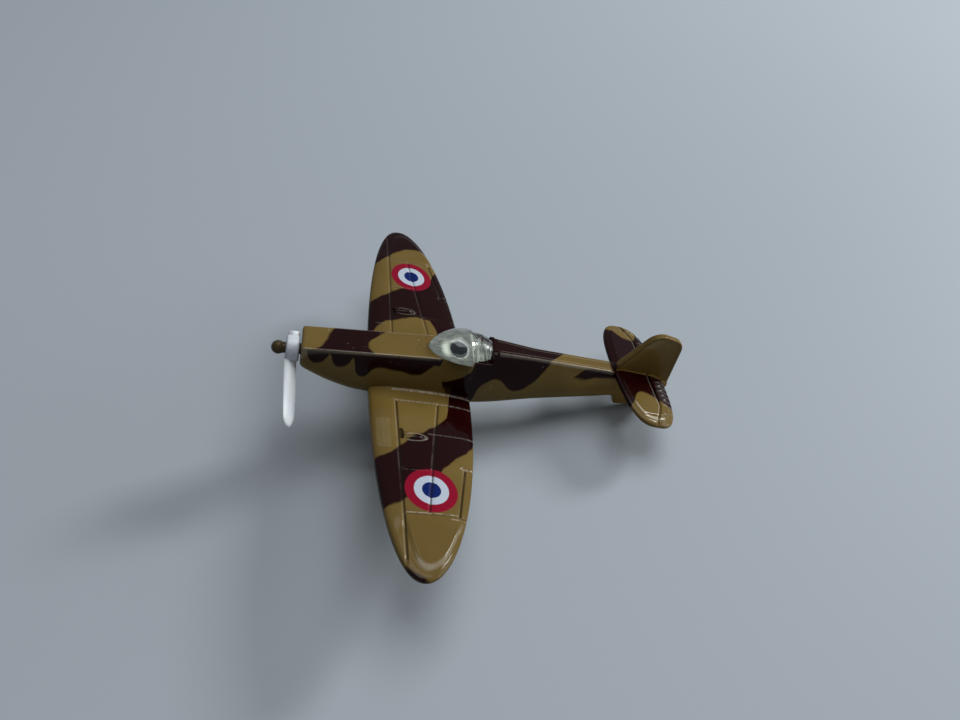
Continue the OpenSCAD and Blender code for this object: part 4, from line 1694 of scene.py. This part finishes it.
        def place(i: Points, j: Points, top: Points) -> Points:
            """Points of the upper side and of the parting side."""
            z = low[i, j] + np.where(top, rise[i, j], 0)
            return np.column_stack([xs[i, j], ys[i, j], z])

        return Bench.plate("wings", xs.shape[0] - 1, xs.shape[1] - 1, place)

    def blister(self, side: int) -> Piece:
        """Teardrop fairing on one wing, with its open mouth.

        Args:
            side: 1 for the right wing and -1 for the left one.

        Returns:
            The fairing.
        """
        turns = np.linspace(0, np.pi / 2, 12)
        tail = [(-2.4 + 2.3 * math.sin(a), math.cos(a)) for a in turns]
        nose = [(-3.9 + 1.5 * math.sin(a), 0.62 + 0.38 * math.sin(a)) for a in np.linspace(0, np.pi / 2, 6)]
        profile = [(-3.3, 0.02), (-3.3, 0.5), (-3.85, 0.54)] + nose[:-1] + tail[:-1] + [(-0.1, 0.03)]
        z = self.wing.parting_at(-2.4, BLISTER.out) + 1.12
        return Bench.turned("blister", profile, 40, (0, side * BLISTER.out, z), (BLISTER.foot_across, 0.82))

    def bead(self, side: int) -> Piece:
        """Raised line round the foot of a blister.

        Args:
            side: 1 for the right wing and -1 for the left one.

        Returns:
            The raised line, open towards the front.
        """
        along, across, reach = BLISTER.foot_along, BLISTER.foot_across, 2.5
        bends = np.linspace(0, 2 * np.pi, 8, endpoint=False)
        rings = []
        for a in np.linspace(-reach, reach, 41):
            x, y = BLISTER.foot_x + along * math.cos(a), side * (BLISTER.out + across * math.sin(a))
            middle = np.array([x, y, self.wing.parting_at(x, y) + 1.42])
            out = np.array([math.cos(a) * across, side * math.sin(a) * along, 0])
            out = out / np.hypot(*out[:2])
            thin = 0.13 * min(1, 0.25 + 3 * (1 - abs(a) / reach))
            ring = [out * math.cos(b) + np.array([0, 0, math.sin(b)]) for b in bends]
            rings.append([middle + thin * spot for spot in ring])
        return Bench.tube("bead", np.array(rings))

    def tail_rows(self) -> Points:
        """Stations across the tailplane, closer together at its ribs and tips."""
        ends = TAIL.half * np.sin(np.linspace(1.05, np.pi / 2, 16))
        out = np.unique(np.round(np.concatenate([np.arange(0, 12.6, 0.16), ends]), 3))
        out = out[np.concatenate([[True], np.diff(out) > 0.03])]
        return np.concatenate([-out[:0:-1], out])

    def tail_columns(self, rows: Points) -> tuple[Points, Points]:
        """Places along the chord of the tailplane, closer together at the hinge.

        Args:
            rows: The stations.

        Returns:
            An array of places by column and station, and the hinge line at each station.
        """
        a, b = TAIL.lead(rows), TAIL.trail(rows)
        hinge = np.clip(TAIL.hinge(rows), a + 0.2 * (b - a), b - 0.3 * (b - a))
        wide = 0.3 * np.clip((b - a) / 6, 0.1, 1)
        xs = [a + (hinge - wide - a) * s for s in 1 - np.cos(np.linspace(0, np.pi / 2, 18))]
        xs += [hinge + wide * s for s in (-0.66, -0.33, 0, 0.33, 0.66)]
        xs += [hinge + wide + (b - hinge - wide) * s for s in np.sin(np.linspace(0, np.pi / 2, 18))]
        return np.array(xs), hinge

    def tail_relief(self, xs: Points, out: Points, hinge: Points, gap: Points) -> tuple[Points, Points]:
        """Thickness of the tailplane over and under its middle surface.

        Args:
            xs: Place along the chord.
            out: Place out along the span.
            hinge: The hinge line.
            gap: Distance to the outline.

        Returns:
            The thickness over the middle surface, with its lines and ribs, and the one under it.
        """
        fixed = xs < hinge
        flat = ease(gap, 1.0, 1.45) * np.where(fixed, 1 - ease(out, 11.7, 12.4), 1)
        rise = TAIL.thick * (0.12 + 0.62 * oval(1 - np.clip(gap / 1.1, 0, 1), 2.0) + 0.26 * flat)
        rise = rise + np.where(fixed, 0, -0.12 * ease(xs - hinge, 0.3, 3.5))
        line = self.wing.groove(np.abs(xs - hinge), 0.34, 0.34) * ease(gap, 0.0, 0.25)
        slant = out + 0.35 * (xs - 44.5)
        cross = self.wing.groove(np.abs(slant - 12.2), 0.35, 0.20) + 0.10 * bell(slant, 13.3, 0.4)
        cross = cross * (~fixed) * ease(gap, 0.1, 0.6)
        swell = np.abs(np.sin(np.pi * (out - TAIL.rib_first) / TAIL.rib_pitch)) ** 0.7
        swell = swell * (out > TAIL.rib_first) * (out < TAIL.rib_last)
        swell = swell + ease(out, TAIL.rib_last, TAIL.rib_last + 0.5) * (1 - ease(out, 11.2, 11.8)) * 0.8
        swell = 0.22 * swell * ease(xs - hinge, 0.3, 3.2) * (0.3 + 0.7 * ease(gap, 0.0, 0.5))
        under = TAIL.thick * (0.12 + 0.88 * oval(1 - np.clip(gap / 1.6, 0, 1), 2.0)) + line
        return rise + swell + line + cross, under

    def tailplane(self) -> Piece:
        """Both halves of the tailplane with hinge line, ribs and raised panels.

        Returns:
            The tailplane, ready to be joined to the fuselage.
        """
        rows = self.tail_rows()
        xs, hinge = self.tail_columns(rows)
        ys = np.broadcast_to(rows, xs.shape)
        span = TAIL.half * np.sin(np.linspace(-np.pi / 2, np.pi / 2, 121))
        edges = [np.stack([TAIL.lead(span), span], 1), np.stack([TAIL.trail(span), span], 1)[::-1]]
        gap = edge_distance(xs, ys, np.concatenate(edges))
        rise, under = self.tail_relief(xs, np.abs(ys), hinge, gap)

        def place(i: Points, j: Points, top: Points) -> Points:
            """Points of the upper side and of the underside."""
            middle = TAIL.middle_z - (xs[i, j] - TAIL.middle_x) * TAIL.slope
            return np.column_stack([xs[i, j], ys[i, j], middle + np.where(top, rise[i, j], -under[i, j])])

        return Bench.plate("tailplane", xs.shape[0] - 1, xs.shape[1] - 1, place)

    def fin_rim(self) -> Points:
        """Outline of the fin, a loop pulled tight round its circles.

        Returns:
            Corners evenly spaced along it, as places along the airframe and heights.
        """
        rim = []
        for a in np.linspace(0, 2 * np.pi, 144, endpoint=False):
            d = np.array([math.cos(a), math.sin(a)])
            ends = [np.array(c[:2]) + c[2] * d for c in self.fin_circles]
            rim.append(max(ends, key=lambda p: float(p @ d)))
        rim = np.array(rim)
        steps = np.concatenate([[0], np.cumsum(np.hypot(*np.diff(np.vstack([rim, rim[:1]]), axis=0).T))])
        at = np.linspace(0, steps[-1], 120, endpoint=False)
        return np.column_stack([np.interp(at, steps, np.append(rim[:, k], rim[0, k])) for k in (0, 1)])

    def fin(self) -> Piece:
        """Fin and rudder in one plate, with a rounded rim round its flat sides.

        Returns:
            The plate, ready to be joined to the fuselage.
        """
        loop = self.fin_rim()
        Bench.clear()
        bpy.ops.mesh.primitive_circle_add(vertices=len(loop), fill_type="NGON")
        piece = Bench.adopt("fin")
        side = np.full(len(loop), -self.fin_thick / 2)
        Bench.move(piece, np.column_stack([loop[:, 0], side, loop[:, 1]]))
        bpy.ops.object.mode_set(mode="EDIT")
        bpy.ops.mesh.select_all(action="SELECT")
        bpy.ops.mesh.extrude_region_move(TRANSFORM_OT_translate={"value": (0, self.fin_thick, 0)})
        bpy.ops.mesh.select_all(action="SELECT")
        bpy.ops.mesh.normals_make_consistent(inside=False)
        bpy.ops.object.mode_set(mode="OBJECT")
        Bench.soften(piece, 0.32, 5, 60)
        for side in (-1, 1):
            bpy.ops.object.mode_set(mode="EDIT")
            bpy.ops.mesh.select_all(action="DESELECT")
            bpy.ops.object.mode_set(mode="OBJECT")
            flat = max(piece.data.polygons, key=lambda f: f.area * (f.normal.y * side > 0.9))
            flat.select = True
            bpy.ops.object.mode_set(mode="EDIT")
            bpy.ops.mesh.select_mode(type="FACE")
            bpy.ops.mesh.inset(thickness=0.28, depth=0)
            bpy.ops.mesh.inset(thickness=0.26, depth=-0.13)
            bpy.ops.object.mode_set(mode="OBJECT")
        return piece

    def tail_block(self) -> Piece:
        """Block under the tail that holds the tail wheel."""
        piece = Bench.block("tail_block", (39.6, -1.4, -6.2), (48.1, 1.4, -2))
        raw = Bench.points(piece)
        low = raw[:, 2] < -6
        raw[low & (raw[:, 0] < 40), 0] = 41.2
        raw[low & (raw[:, 0] > 48), 0] = 47.7
        Bench.move(piece, raw)
        return Bench.soften(piece, 0.25, 3)

    def build(self) -> Piece:
        """Joins the pieces of the casting, cuts its seats and dresses it.

        Returns:
            The casting.
        """
        shell = self.form("upper_shell")
        Bench.join(shell, self.below("under", -9.9, 10.3, -0.05), Join.CUT)
        for part in (self.wings(), self.tailplane(), self.fin(), self.tail_block()):
            Bench.join(shell, part, Join.ADD)
        for side in (-1, 1):
            Bench.join(shell, self.blister(side), Join.ADD)
            Bench.join(shell, self.bead(side), Join.ADD)
            z = self.wing.parting_at(-4.2, BLISTER.mouth_out) + 1.62
            middle = (BLISTER.mouth_x, side * BLISTER.mouth_out, z)
            mouth = Bench.rod("mouth", 0.42, 2.2, middle, (math.pi / 2, 0, 0), 24)
            Bench.join(shell, Bench.soften(mouth, 0.2, 3), Join.CUT)
        Bench.join(shell, Bench.rod("peg_hole", 1.61, 4, (PEG_X, 0, 2.85)), Join.CUT)
        Bench.join(shell, Bench.rod("nose_hole", 1.21, 7, (-20.5, 0, 0), (0, math.pi / 2, 0)), Join.CUT)
        Bench.join(shell, Bench.block("slot", (45.15, -0.8, -9), (56, 0.8, -3.65)), Join.CUT)
        Bench.seat(shell)
        return register(shell, "airframe", "camouflage_paint", self.paint.make(True), "upper_casting")


@dataclass
class LowerCasting:
    """Lower wing halves and the belly plate."""

    upper: UpperCasting
    paint: GlossPaint
    root_t: float = 1.4
    tip_t: float = 0.8
    leg_x: float = -3.6
    leg_y: float = 9
    rivets: tuple[float, float] = (-7.0, 6.4)

    def wings(self) -> Piece:
        """Both lower wing halves, with the ailerons' slots.

        Returns:
            The wings.
        """
        w = self.upper.wing
        stations = w.rows()
        xs = w.columns(stations)
        ys = np.broadcast_to(stations, xs.shape)
        gap = edge_distance(xs, ys, w.outline())
        drop = w.lip + (w.thickness(ys, self.root_t, self.tip_t) - w.lip) * w.arch(xs, ys, gap)
        slot = segment_distance(xs, np.abs(ys), *w.aileron)
        drop = drop + w.groove(slot, 0.3, 0.2) * ease(gap, 0, 0.4)
        top = w.parting(xs, ys) - w.seam / 2

        def place(i: Points, j: Points, upper: Points) -> Points:
            """Points of the parting side and of the underside."""
            return np.column_stack([xs[i, j], ys[i, j], top[i, j] - np.where(upper, 0, drop[i, j])])

        return Bench.plate("lower_shell", xs.shape[0] - 1, xs.shape[1] - 1, place)

    def build(self) -> Piece:
        """Joins the belly to the wings, cuts the seats and dresses the casting.

        Returns:
            The casting.
        """
        shell = self.wings()
        belly = self.upper.form("belly")
        Bench.join(belly, self.upper.below("under", -9.84, 10.24, 0.05), Join.KEEP)
        Bench.join(shell, belly, Join.ADD)
        for side in (-1, 1):
            boss = Bench.rod("boss", 1.45, 1.2, (self.leg_x, side * self.leg_y, -5.724))
            Bench.join(shell, Bench.soften(boss, 0.15, 3), Join.ADD)
            socket = Bench.rod("socket", 0.61, 2.55, (self.leg_x, side * self.leg_y, -6.25))
            Bench.join(shell, socket, Join.CUT)
        for x in self.rivets:
            Bench.join(shell, Bench.rod("seat", 1.51, 3, (x, 0, -8.2731 + 0.5 - 1.5)), Join.CUT)
            Bench.join(shell, Bench.rod("bore", 0.91, 8, (x, 0, -5)), Join.CUT)
        Bench.join(shell, Bench.block("pad", (-4.3, -4.7, -12), (3.7, 4.7, -7.9231)), Join.CUT)
        Bench.seat(shell)
        return register(shell, "airframe", "camouflage_paint", self.paint.make(False), "lower_casting")


@dataclass
class Canopy:
    """Clear bubble with its stepped and ribbed rear part and the peg that locates it."""

    plastic: ClearPlastic
    foot: FrostedFoot
    peg: Moulding
    start: float = 0.6
    wide: float = 4.45
    tall: float = 3.5
    dome: float = 7.9
    peak: float = 5.88
    step_x: float = 8.5
    rear_len: float = 3.7
    floor_z: float = 3.53

    def half_width(self, x: Points) -> Points:
        """Half width of the bubble and of its rear part.

        Args:
            x: Place along it.

        Returns:
            The half width.
        """
        share = np.clip((self.step_x - x) / self.dome, -1, 1)
        front = self.wide * np.maximum(0.02, 1 - share ** 2) ** 0.6
        rear = 3.6 - 1.1 * (x - self.step_x) / self.rear_len
        return np.where(x < self.step_x, front, rear)

    def height(self, x: Points) -> Points:
        """Height of the bubble over the deck.

        Args:
            x: Place along it.

        Returns:
            The height.
        """
        peak = self.start + self.peak
        front = self.tall * np.maximum(0.02, 1 - np.clip((peak - x) / self.peak, 0, 1) ** 2) ** 0.65
        rear = self.tall - 1.5 * np.clip((x - peak) / 5.72, 0, 1) ** 1.5
        return np.where(x < peak, front, rear)

    def bubble(self) -> Piece:
        """The bubble and its rear part, with two ridges across it and a rib along its crown.

        Returns:
            The bubble without its peg.
        """
        a = np.linspace(0, np.pi, 61)
        front = self.start + self.dome * (1 - np.cos(np.linspace(0, np.pi / 2, 26))) * 0.999
        xs = np.concatenate([front, np.linspace(8.72, self.step_x + self.rear_len, 54)])
        ridges = sum(bell(xs, c, 0.16) for c in (8.9, 10.3)) * (xs > self.step_x)
        steps = 0.94 + 0.06 * (1 - ease(xs, 9.8, 9.95)) - 0.07 * ease(xs, 11.5, 11.7)
        steps = np.where(xs < self.step_x, 1, steps - 0.06 * bell(xs, 9.95, 0.13))
        rings = []
        for x, w, h, f, k in zip(xs, self.half_width(xs), self.height(xs), ridges, steps):
            w = w * k + 0.08 * f
            h = h * k * (1 + 0.30 * float(ease(np.array(x), 8.6, 10.6))) + 0.08 * f
            y = -w * np.cos(a)
            top = h * np.sin(a) ** 0.9 + 0.12 * bell(y, 0, 0.32) * ease(np.array(x), 8.4, 8.7)
            rings.append(np.column_stack([np.full(len(a), x), y, self.floor_z + top]))
        return Bench.tube("canopy_bubble", np.array(rings))

    def build(self) -> Piece:
        """Joins the bubble and its peg, and dresses them.

        Returns:
            The canopy, with a frosted foot and a grey peg.
        """
        bubble = self.bubble()
        Bench.join(bubble, Bench.rod("peg", self.foot.peg_r, 2.9, (PEG_X, 0, 2.55)), Join.ADD)
        faces = [(f.index, f.center.z, f.normal.z) for f in bubble.data.polygons]
        Bench.seat(bubble, 40)
        register(bubble, "airframe", "clear_plastic", self.plastic.make(), "canopy")
        for finish in (self.foot, self.peg):
            bubble.data.materials.append(finish.make())
        for index, z, up in faces:
            if z < self.floor_z + 0.05 and up < 0.5:
                bubble.data.polygons[index].material_index = 2 if z < self.floor_z - 0.05 else 1
        return bubble


@dataclass
class Propeller:
    """Hub with one blade, and the spindle whose ball holds it."""

    plastic: Moulding
    paint: GlossPaint
    hub_x: float = -24.6
    hub_r: float = 2.4
    hub_len: float = 2.35
    root_r: float = 1.7
    reach: float = 14.0
    tip_len: float = 2.1
    pitch: float = 38.0
    twist: float = 4
    droop: float = 40.0
    rake: float = math.tan(math.radians(3.4))
    lead: float = 0.35
    stub: float = 3.0
    ball_x: float = -25.9
    ball_r: float = 1.24

    def blade(self) -> Piece:
        """Twisted blade, fuller in front than behind, with a rounded tip.

        Returns:
            The blade, where it hangs on the hub.
        """
        tip_r = self.reach - self.tip_len
        end = tip_r + self.tip_len * np.sin(np.linspace(0.1, np.pi / 2, 14))
        r = np.concatenate([np.linspace(self.root_r, tip_r, 30), end])
        width = np.interp(r, [self.root_r, 4.0, 7.0, 9.5, tip_r], [3.0, 3.3, 3.4, 3.4, 3.3])
        tip = np.clip((r - tip_r) / self.tip_len, 0, 1)
        width = width * oval(tip * 0.995, 1.9)
        thick = np.interp(r, [self.root_r, 6, self.reach], [1.05, 0.9, 0.65]) * oval(tip * 0.97, 3)
        angles = [self.pitch + self.twist, self.pitch - self.twist]
        turn = np.radians(np.interp(r, [self.root_r, self.reach], angles))
        u = np.linspace(0, 2 * np.pi, 40, endpoint=False)
        rings = []
        for radius, w, t, a in zip(r, width, thick, turn):
            flat = np.sign(np.cos(u)) * np.abs(np.cos(u)) ** 0.9 * w / 2
            deep = np.sin(u) * t / 2 * (1 - 0.35 * np.abs(np.cos(u)))
            deep = np.where(np.sin(u) > 0, deep * 1.25, deep * 0.7)
            x = deep * math.cos(a) - flat * math.sin(a)
            y = deep * math.sin(a) + flat * math.cos(a)
            x = x - self.lead + self.rake * radius
            rings.append(np.column_stack([x, y, np.full(len(u), radius)]))
        piece = Bench.tube("blade", np.array(rings))
        piece.data.transform(self.spin())
        return piece

    def spin(self) -> Matrix:
        """Turns a shape along Z to where the blade hangs on the hub."""
        turn = Matrix.Rotation(math.radians(90 + self.droop), 4, "X")
        return Matrix.Translation((self.hub_x + self.hub_len / 2, 0, 0)) @ turn

    def hub(self) -> Piece:
        """Builds and dresses the hub with its blade, its stub and its bore.

        Returns:
            The propeller.
        """
        rounding = [(0, 1.3), (0, 2.1), (0.07, 2.25), (0.2, 2.36), (0.4, self.hub_r)]
        profile = rounding + [(self.hub_len - x, r) for x, r in rounding[::-1]]
        hub = Bench.turned("propeller_moulding", profile, 72, (self.hub_x, 0, 0))
        Bench.join(hub, self.blade(), Join.ADD)
        stub = Bench.rod("stub", 1.07, self.stub, (0, 0, -self.stub / 2))
        stub.data.transform(self.spin())
        Bench.join(hub, Bench.soften(stub, 0.15, 3), Join.ADD)
        Bench.join(hub, Bench.rod("bore", 1.06, 6, (self.hub_x + 1, 0, 0), (0, math.pi / 2, 0)), Join.CUT)
        Bench.seat(hub, 40)
        return register(hub, "propeller", "white_plastic", self.plastic.make(), "propeller")

    def spindle(self) -> Piece:
        """Builds and dresses the pin with the ball that holds the hub."""
        turns = np.linspace(0.02, 2.2, 24)
        ball = [(self.ball_x - self.ball_r * math.cos(a), self.ball_r * math.sin(a)) for a in turns]
        neck = [(self.ball_x + 0.82, 1.0), (-22.1, 1.0), (-22.0, 1.05), (-22.0, 1.2), (-17.0, 1.2)]
        spindle = Bench.turned("ball_spindle", ball + neck, 56, (0, 0, 0))
        Bench.seat(spindle, 40)
        finish = self.paint.make(False)
        return register(spindle, "airframe", "camouflage_paint", finish, "propeller_spindle")

    def build(self) -> list[Piece]:
        """Builds and dresses the propeller and the spindle.

        Returns:
            The two pieces.
        """
        return [self.hub(), self.spindle()]


@dataclass
class RunningGear:
    """Packed legs, pins, rivets and wheels, which keep their shapes and get their finishes."""

    paint: GlossPaint
    rubber: Moulding
    pin: BareMetal
    rivet: BareMetal

    def build(self) -> None:
        """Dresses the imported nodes."""
        paint, black = self.paint.make(False), self.rubber.make()
        pin, rivet = self.pin.make(), self.rivet.make()
        groups = (
            (("left_leg", "right_leg"), paint, "tan_paint"),
            (("left_axle", "right_axle", "tail_axle"), pin, "steel_pin"),
            (("left_wheel", "right_wheel", "tail_wheel"), black, "black_plastic"),
            (("casting_rivets",), rivet, "bare_rivet"),
        )
        for names, finish, slot in groups:
            for name in names:
                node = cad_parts[name]
                node.data.materials.clear()
                node.data.materials.append(finish)
                log.info("%s: dressed", name)


# ---- The studio ----

@dataclass(frozen=True)
class Lamp:
    """Square soft lamp that points at the origin: its place in metres, its size and its power."""

    name: str
    place: Spot
    size: float
    power: float

    def hang(self, colour: Colour) -> None:
        """Adds the lamp to the scene.

        Args:
            colour: Colour of its light.
        """
        data = bpy.data.lights.new(self.name, "AREA")
        data.size, data.energy, data.color = self.size, self.power, colour
        lamp = bpy.data.objects.new(self.name, data)
        bpy.context.scene.collection.objects.link(lamp)
        lamp.location = self.place
        lamp.rotation_euler = (-Vector(self.place)).to_track_quat("-Z", "Y").to_euler()


@dataclass(frozen=True)
class Studio:
    """Pale floor, soft light and the camera."""

    floor_colour: Colour = (0.425, 0.466, 0.507)
    far_colour: Colour = (0.36, 0.40, 0.44)
    room_colour: Colour = (0.92, 0.96, 1.0)
    room_power: float = 0.05
    lamp_colour: Colour = (0.95, 0.98, 1.0)
    lamps: tuple[Lamp, ...] = (Lamp("window", (0.89, 0.42, 0.60), 0.24, 6.0),
                               Lamp("side", (1.16, -0.12, 0.24), 0.7, 5.4),
                               Lamp("ceiling", (0.30, 0.20, 1.16), 0.9, 7.8))
    eye: Spot = (-0.015083, -0.09422, 0.107283)
    right: Spot = (0.99155, -0.1282, 0.01766)
    ahead: Spot = (0.10476, 0.7151, -0.69112)
    lens: float = 25.99

    def seen(self, r: Recipe) -> Number:
        """1 for rays of the camera, of reflections and through clear plastic, and 0 for the light's."""
        path = r.node("ShaderNodeLightPath")
        rays = [Number(r, path.outputs[f"Is {kind} Ray"]) for kind in ("Camera", "Glossy", "Transmission")]
        return rays[0].most(rays[1]).most(rays[2])

    def floor(self) -> None:
        """Wide floor with a faint sheen, which fades into the plain colour of the room far away."""
        Bench.clear()
        bpy.ops.mesh.primitive_plane_add(size=12)
        piece = Bench.adopt("floor")
        r = Recipe("floor_paint")
        cloud = r.noise(0.004, 3)
        colour = r.mix(cloud * 0.5, self.floor_colour, [c * 1.05 for c in self.floor_colour])
        finish = r.finish(Base_Color=colour, Roughness=0.6 + (cloud - 0.5) * 0.1, Specular_IOR_Level=0.2)
        near = r.tree.nodes["Material Output"].inputs["Surface"].links[0].from_socket
        x, y, z = r.level()
        away = (x * x + y * y).root().step(260, 900)
        glow = r.node("ShaderNodeEmission", {}, {"Color": self.far_colour})
        mix = r.node("ShaderNodeMixShader", {}, {0: away * self.seen(r), 1: near, 2: glow.outputs[0]})
        r.tree.links.new(mix.outputs[0], r.tree.nodes["Material Output"].inputs["Surface"])
        piece.data.materials.append(finish)

    def light(self) -> None:
        """Large soft lamps behind, beside and above, with a dim room round them."""
        world = bpy.data.worlds.new("room")
        bpy.context.scene.world = world
        world.use_nodes = True
        r = Recipe.of(world.node_tree)
        back = r.node("ShaderNodeBackground", {}, {"Color": self.far_colour})
        room = r.node("ShaderNodeBackground", {}, {"Color": self.room_colour, "Strength": self.room_power})
        mix = r.node("ShaderNodeMixShader", {}, {0: self.seen(r), 1: room.outputs[0], 2: back.outputs[0]})
        r.tree.links.new(mix.outputs[0], r.node("ShaderNodeOutputWorld").inputs["Surface"])
        for lamp in self.lamps:
            lamp.hang(self.lamp_colour)

    def camera(self) -> None:
        """Camera over the left wing."""
        data = bpy.data.cameras.new("camera")
        data.lens, data.sensor_width, data.clip_start, data.clip_end = self.lens, 36, 0.005, 50
        camera = bpy.data.objects.new("camera", data)
        bpy.context.scene.collection.objects.link(camera)
        ahead = Vector(self.ahead).normalized()
        right = Vector(self.right)
        right = (right - ahead * right.dot(ahead)).normalized()
        up = right.cross(ahead)
        turn = Matrix((right, up, -ahead)).transposed()
        camera.matrix_world = Matrix.Translation(self.eye) @ turn.to_4x4()
        bpy.context.scene.camera = camera

    def build(self) -> None:
        """Sets the scene."""
        self.floor()
        self.light()
        self.camera()
        view = bpy.context.scene.view_settings
        view.view_transform = "Standard"


def main() -> None:
    """Builds the pieces in order and sets the studio up."""
    logging.basicConfig(level=logging.INFO, format="%(name)s: %(message)s", stream=sys.stdout)
    plain = GlossPaint("tan_gloss")
    # Darker tan for the propeller's ball and pin: painted shade, with worn brown paint.
    wear_and_painted_light = GlossPaint("shaded_worn_tan_gloss", (0.075, 0.050, 0.020), (0.10, 0.065, 0.030))
    white = Moulding("propeller_white", (0.93, 0.95, 0.97), (0.80, 0.84, 0.88), 0.3, 0.15,
                     (0.36, 0.39, 0.46))
    black = Moulding("wheel_black", (0.02, 0.02, 0.021), (0.035, 0.034, 0.033), 0.45)
    grey = Moulding("canopy_peg", (0.070, 0.080, 0.085), (0.045, 0.055, 0.060), 0.35)
    steel = BareMetal("pin_steel", (0.55, 0.54, 0.52), (0.36, 0.33, 0.29), 0.32)
    alloy = BareMetal("rivet_alloy", (0.60, 0.60, 0.60), (0.42, 0.41, 0.40), 0.35)
    upper = UpperCasting(WingPlan(), GlossPaint("camouflage_gloss"))
    upper.build()
    LowerCasting(upper, plain).build()
    Canopy(ClearPlastic("canopy_clear"), FrostedFoot("canopy_frost"), grey).build()
    Propeller(white, wear_and_painted_light).build()
    RunningGear(plain, black, steel, alloy).build()
    Studio().build()


if __name__ == "__main__":
    main()
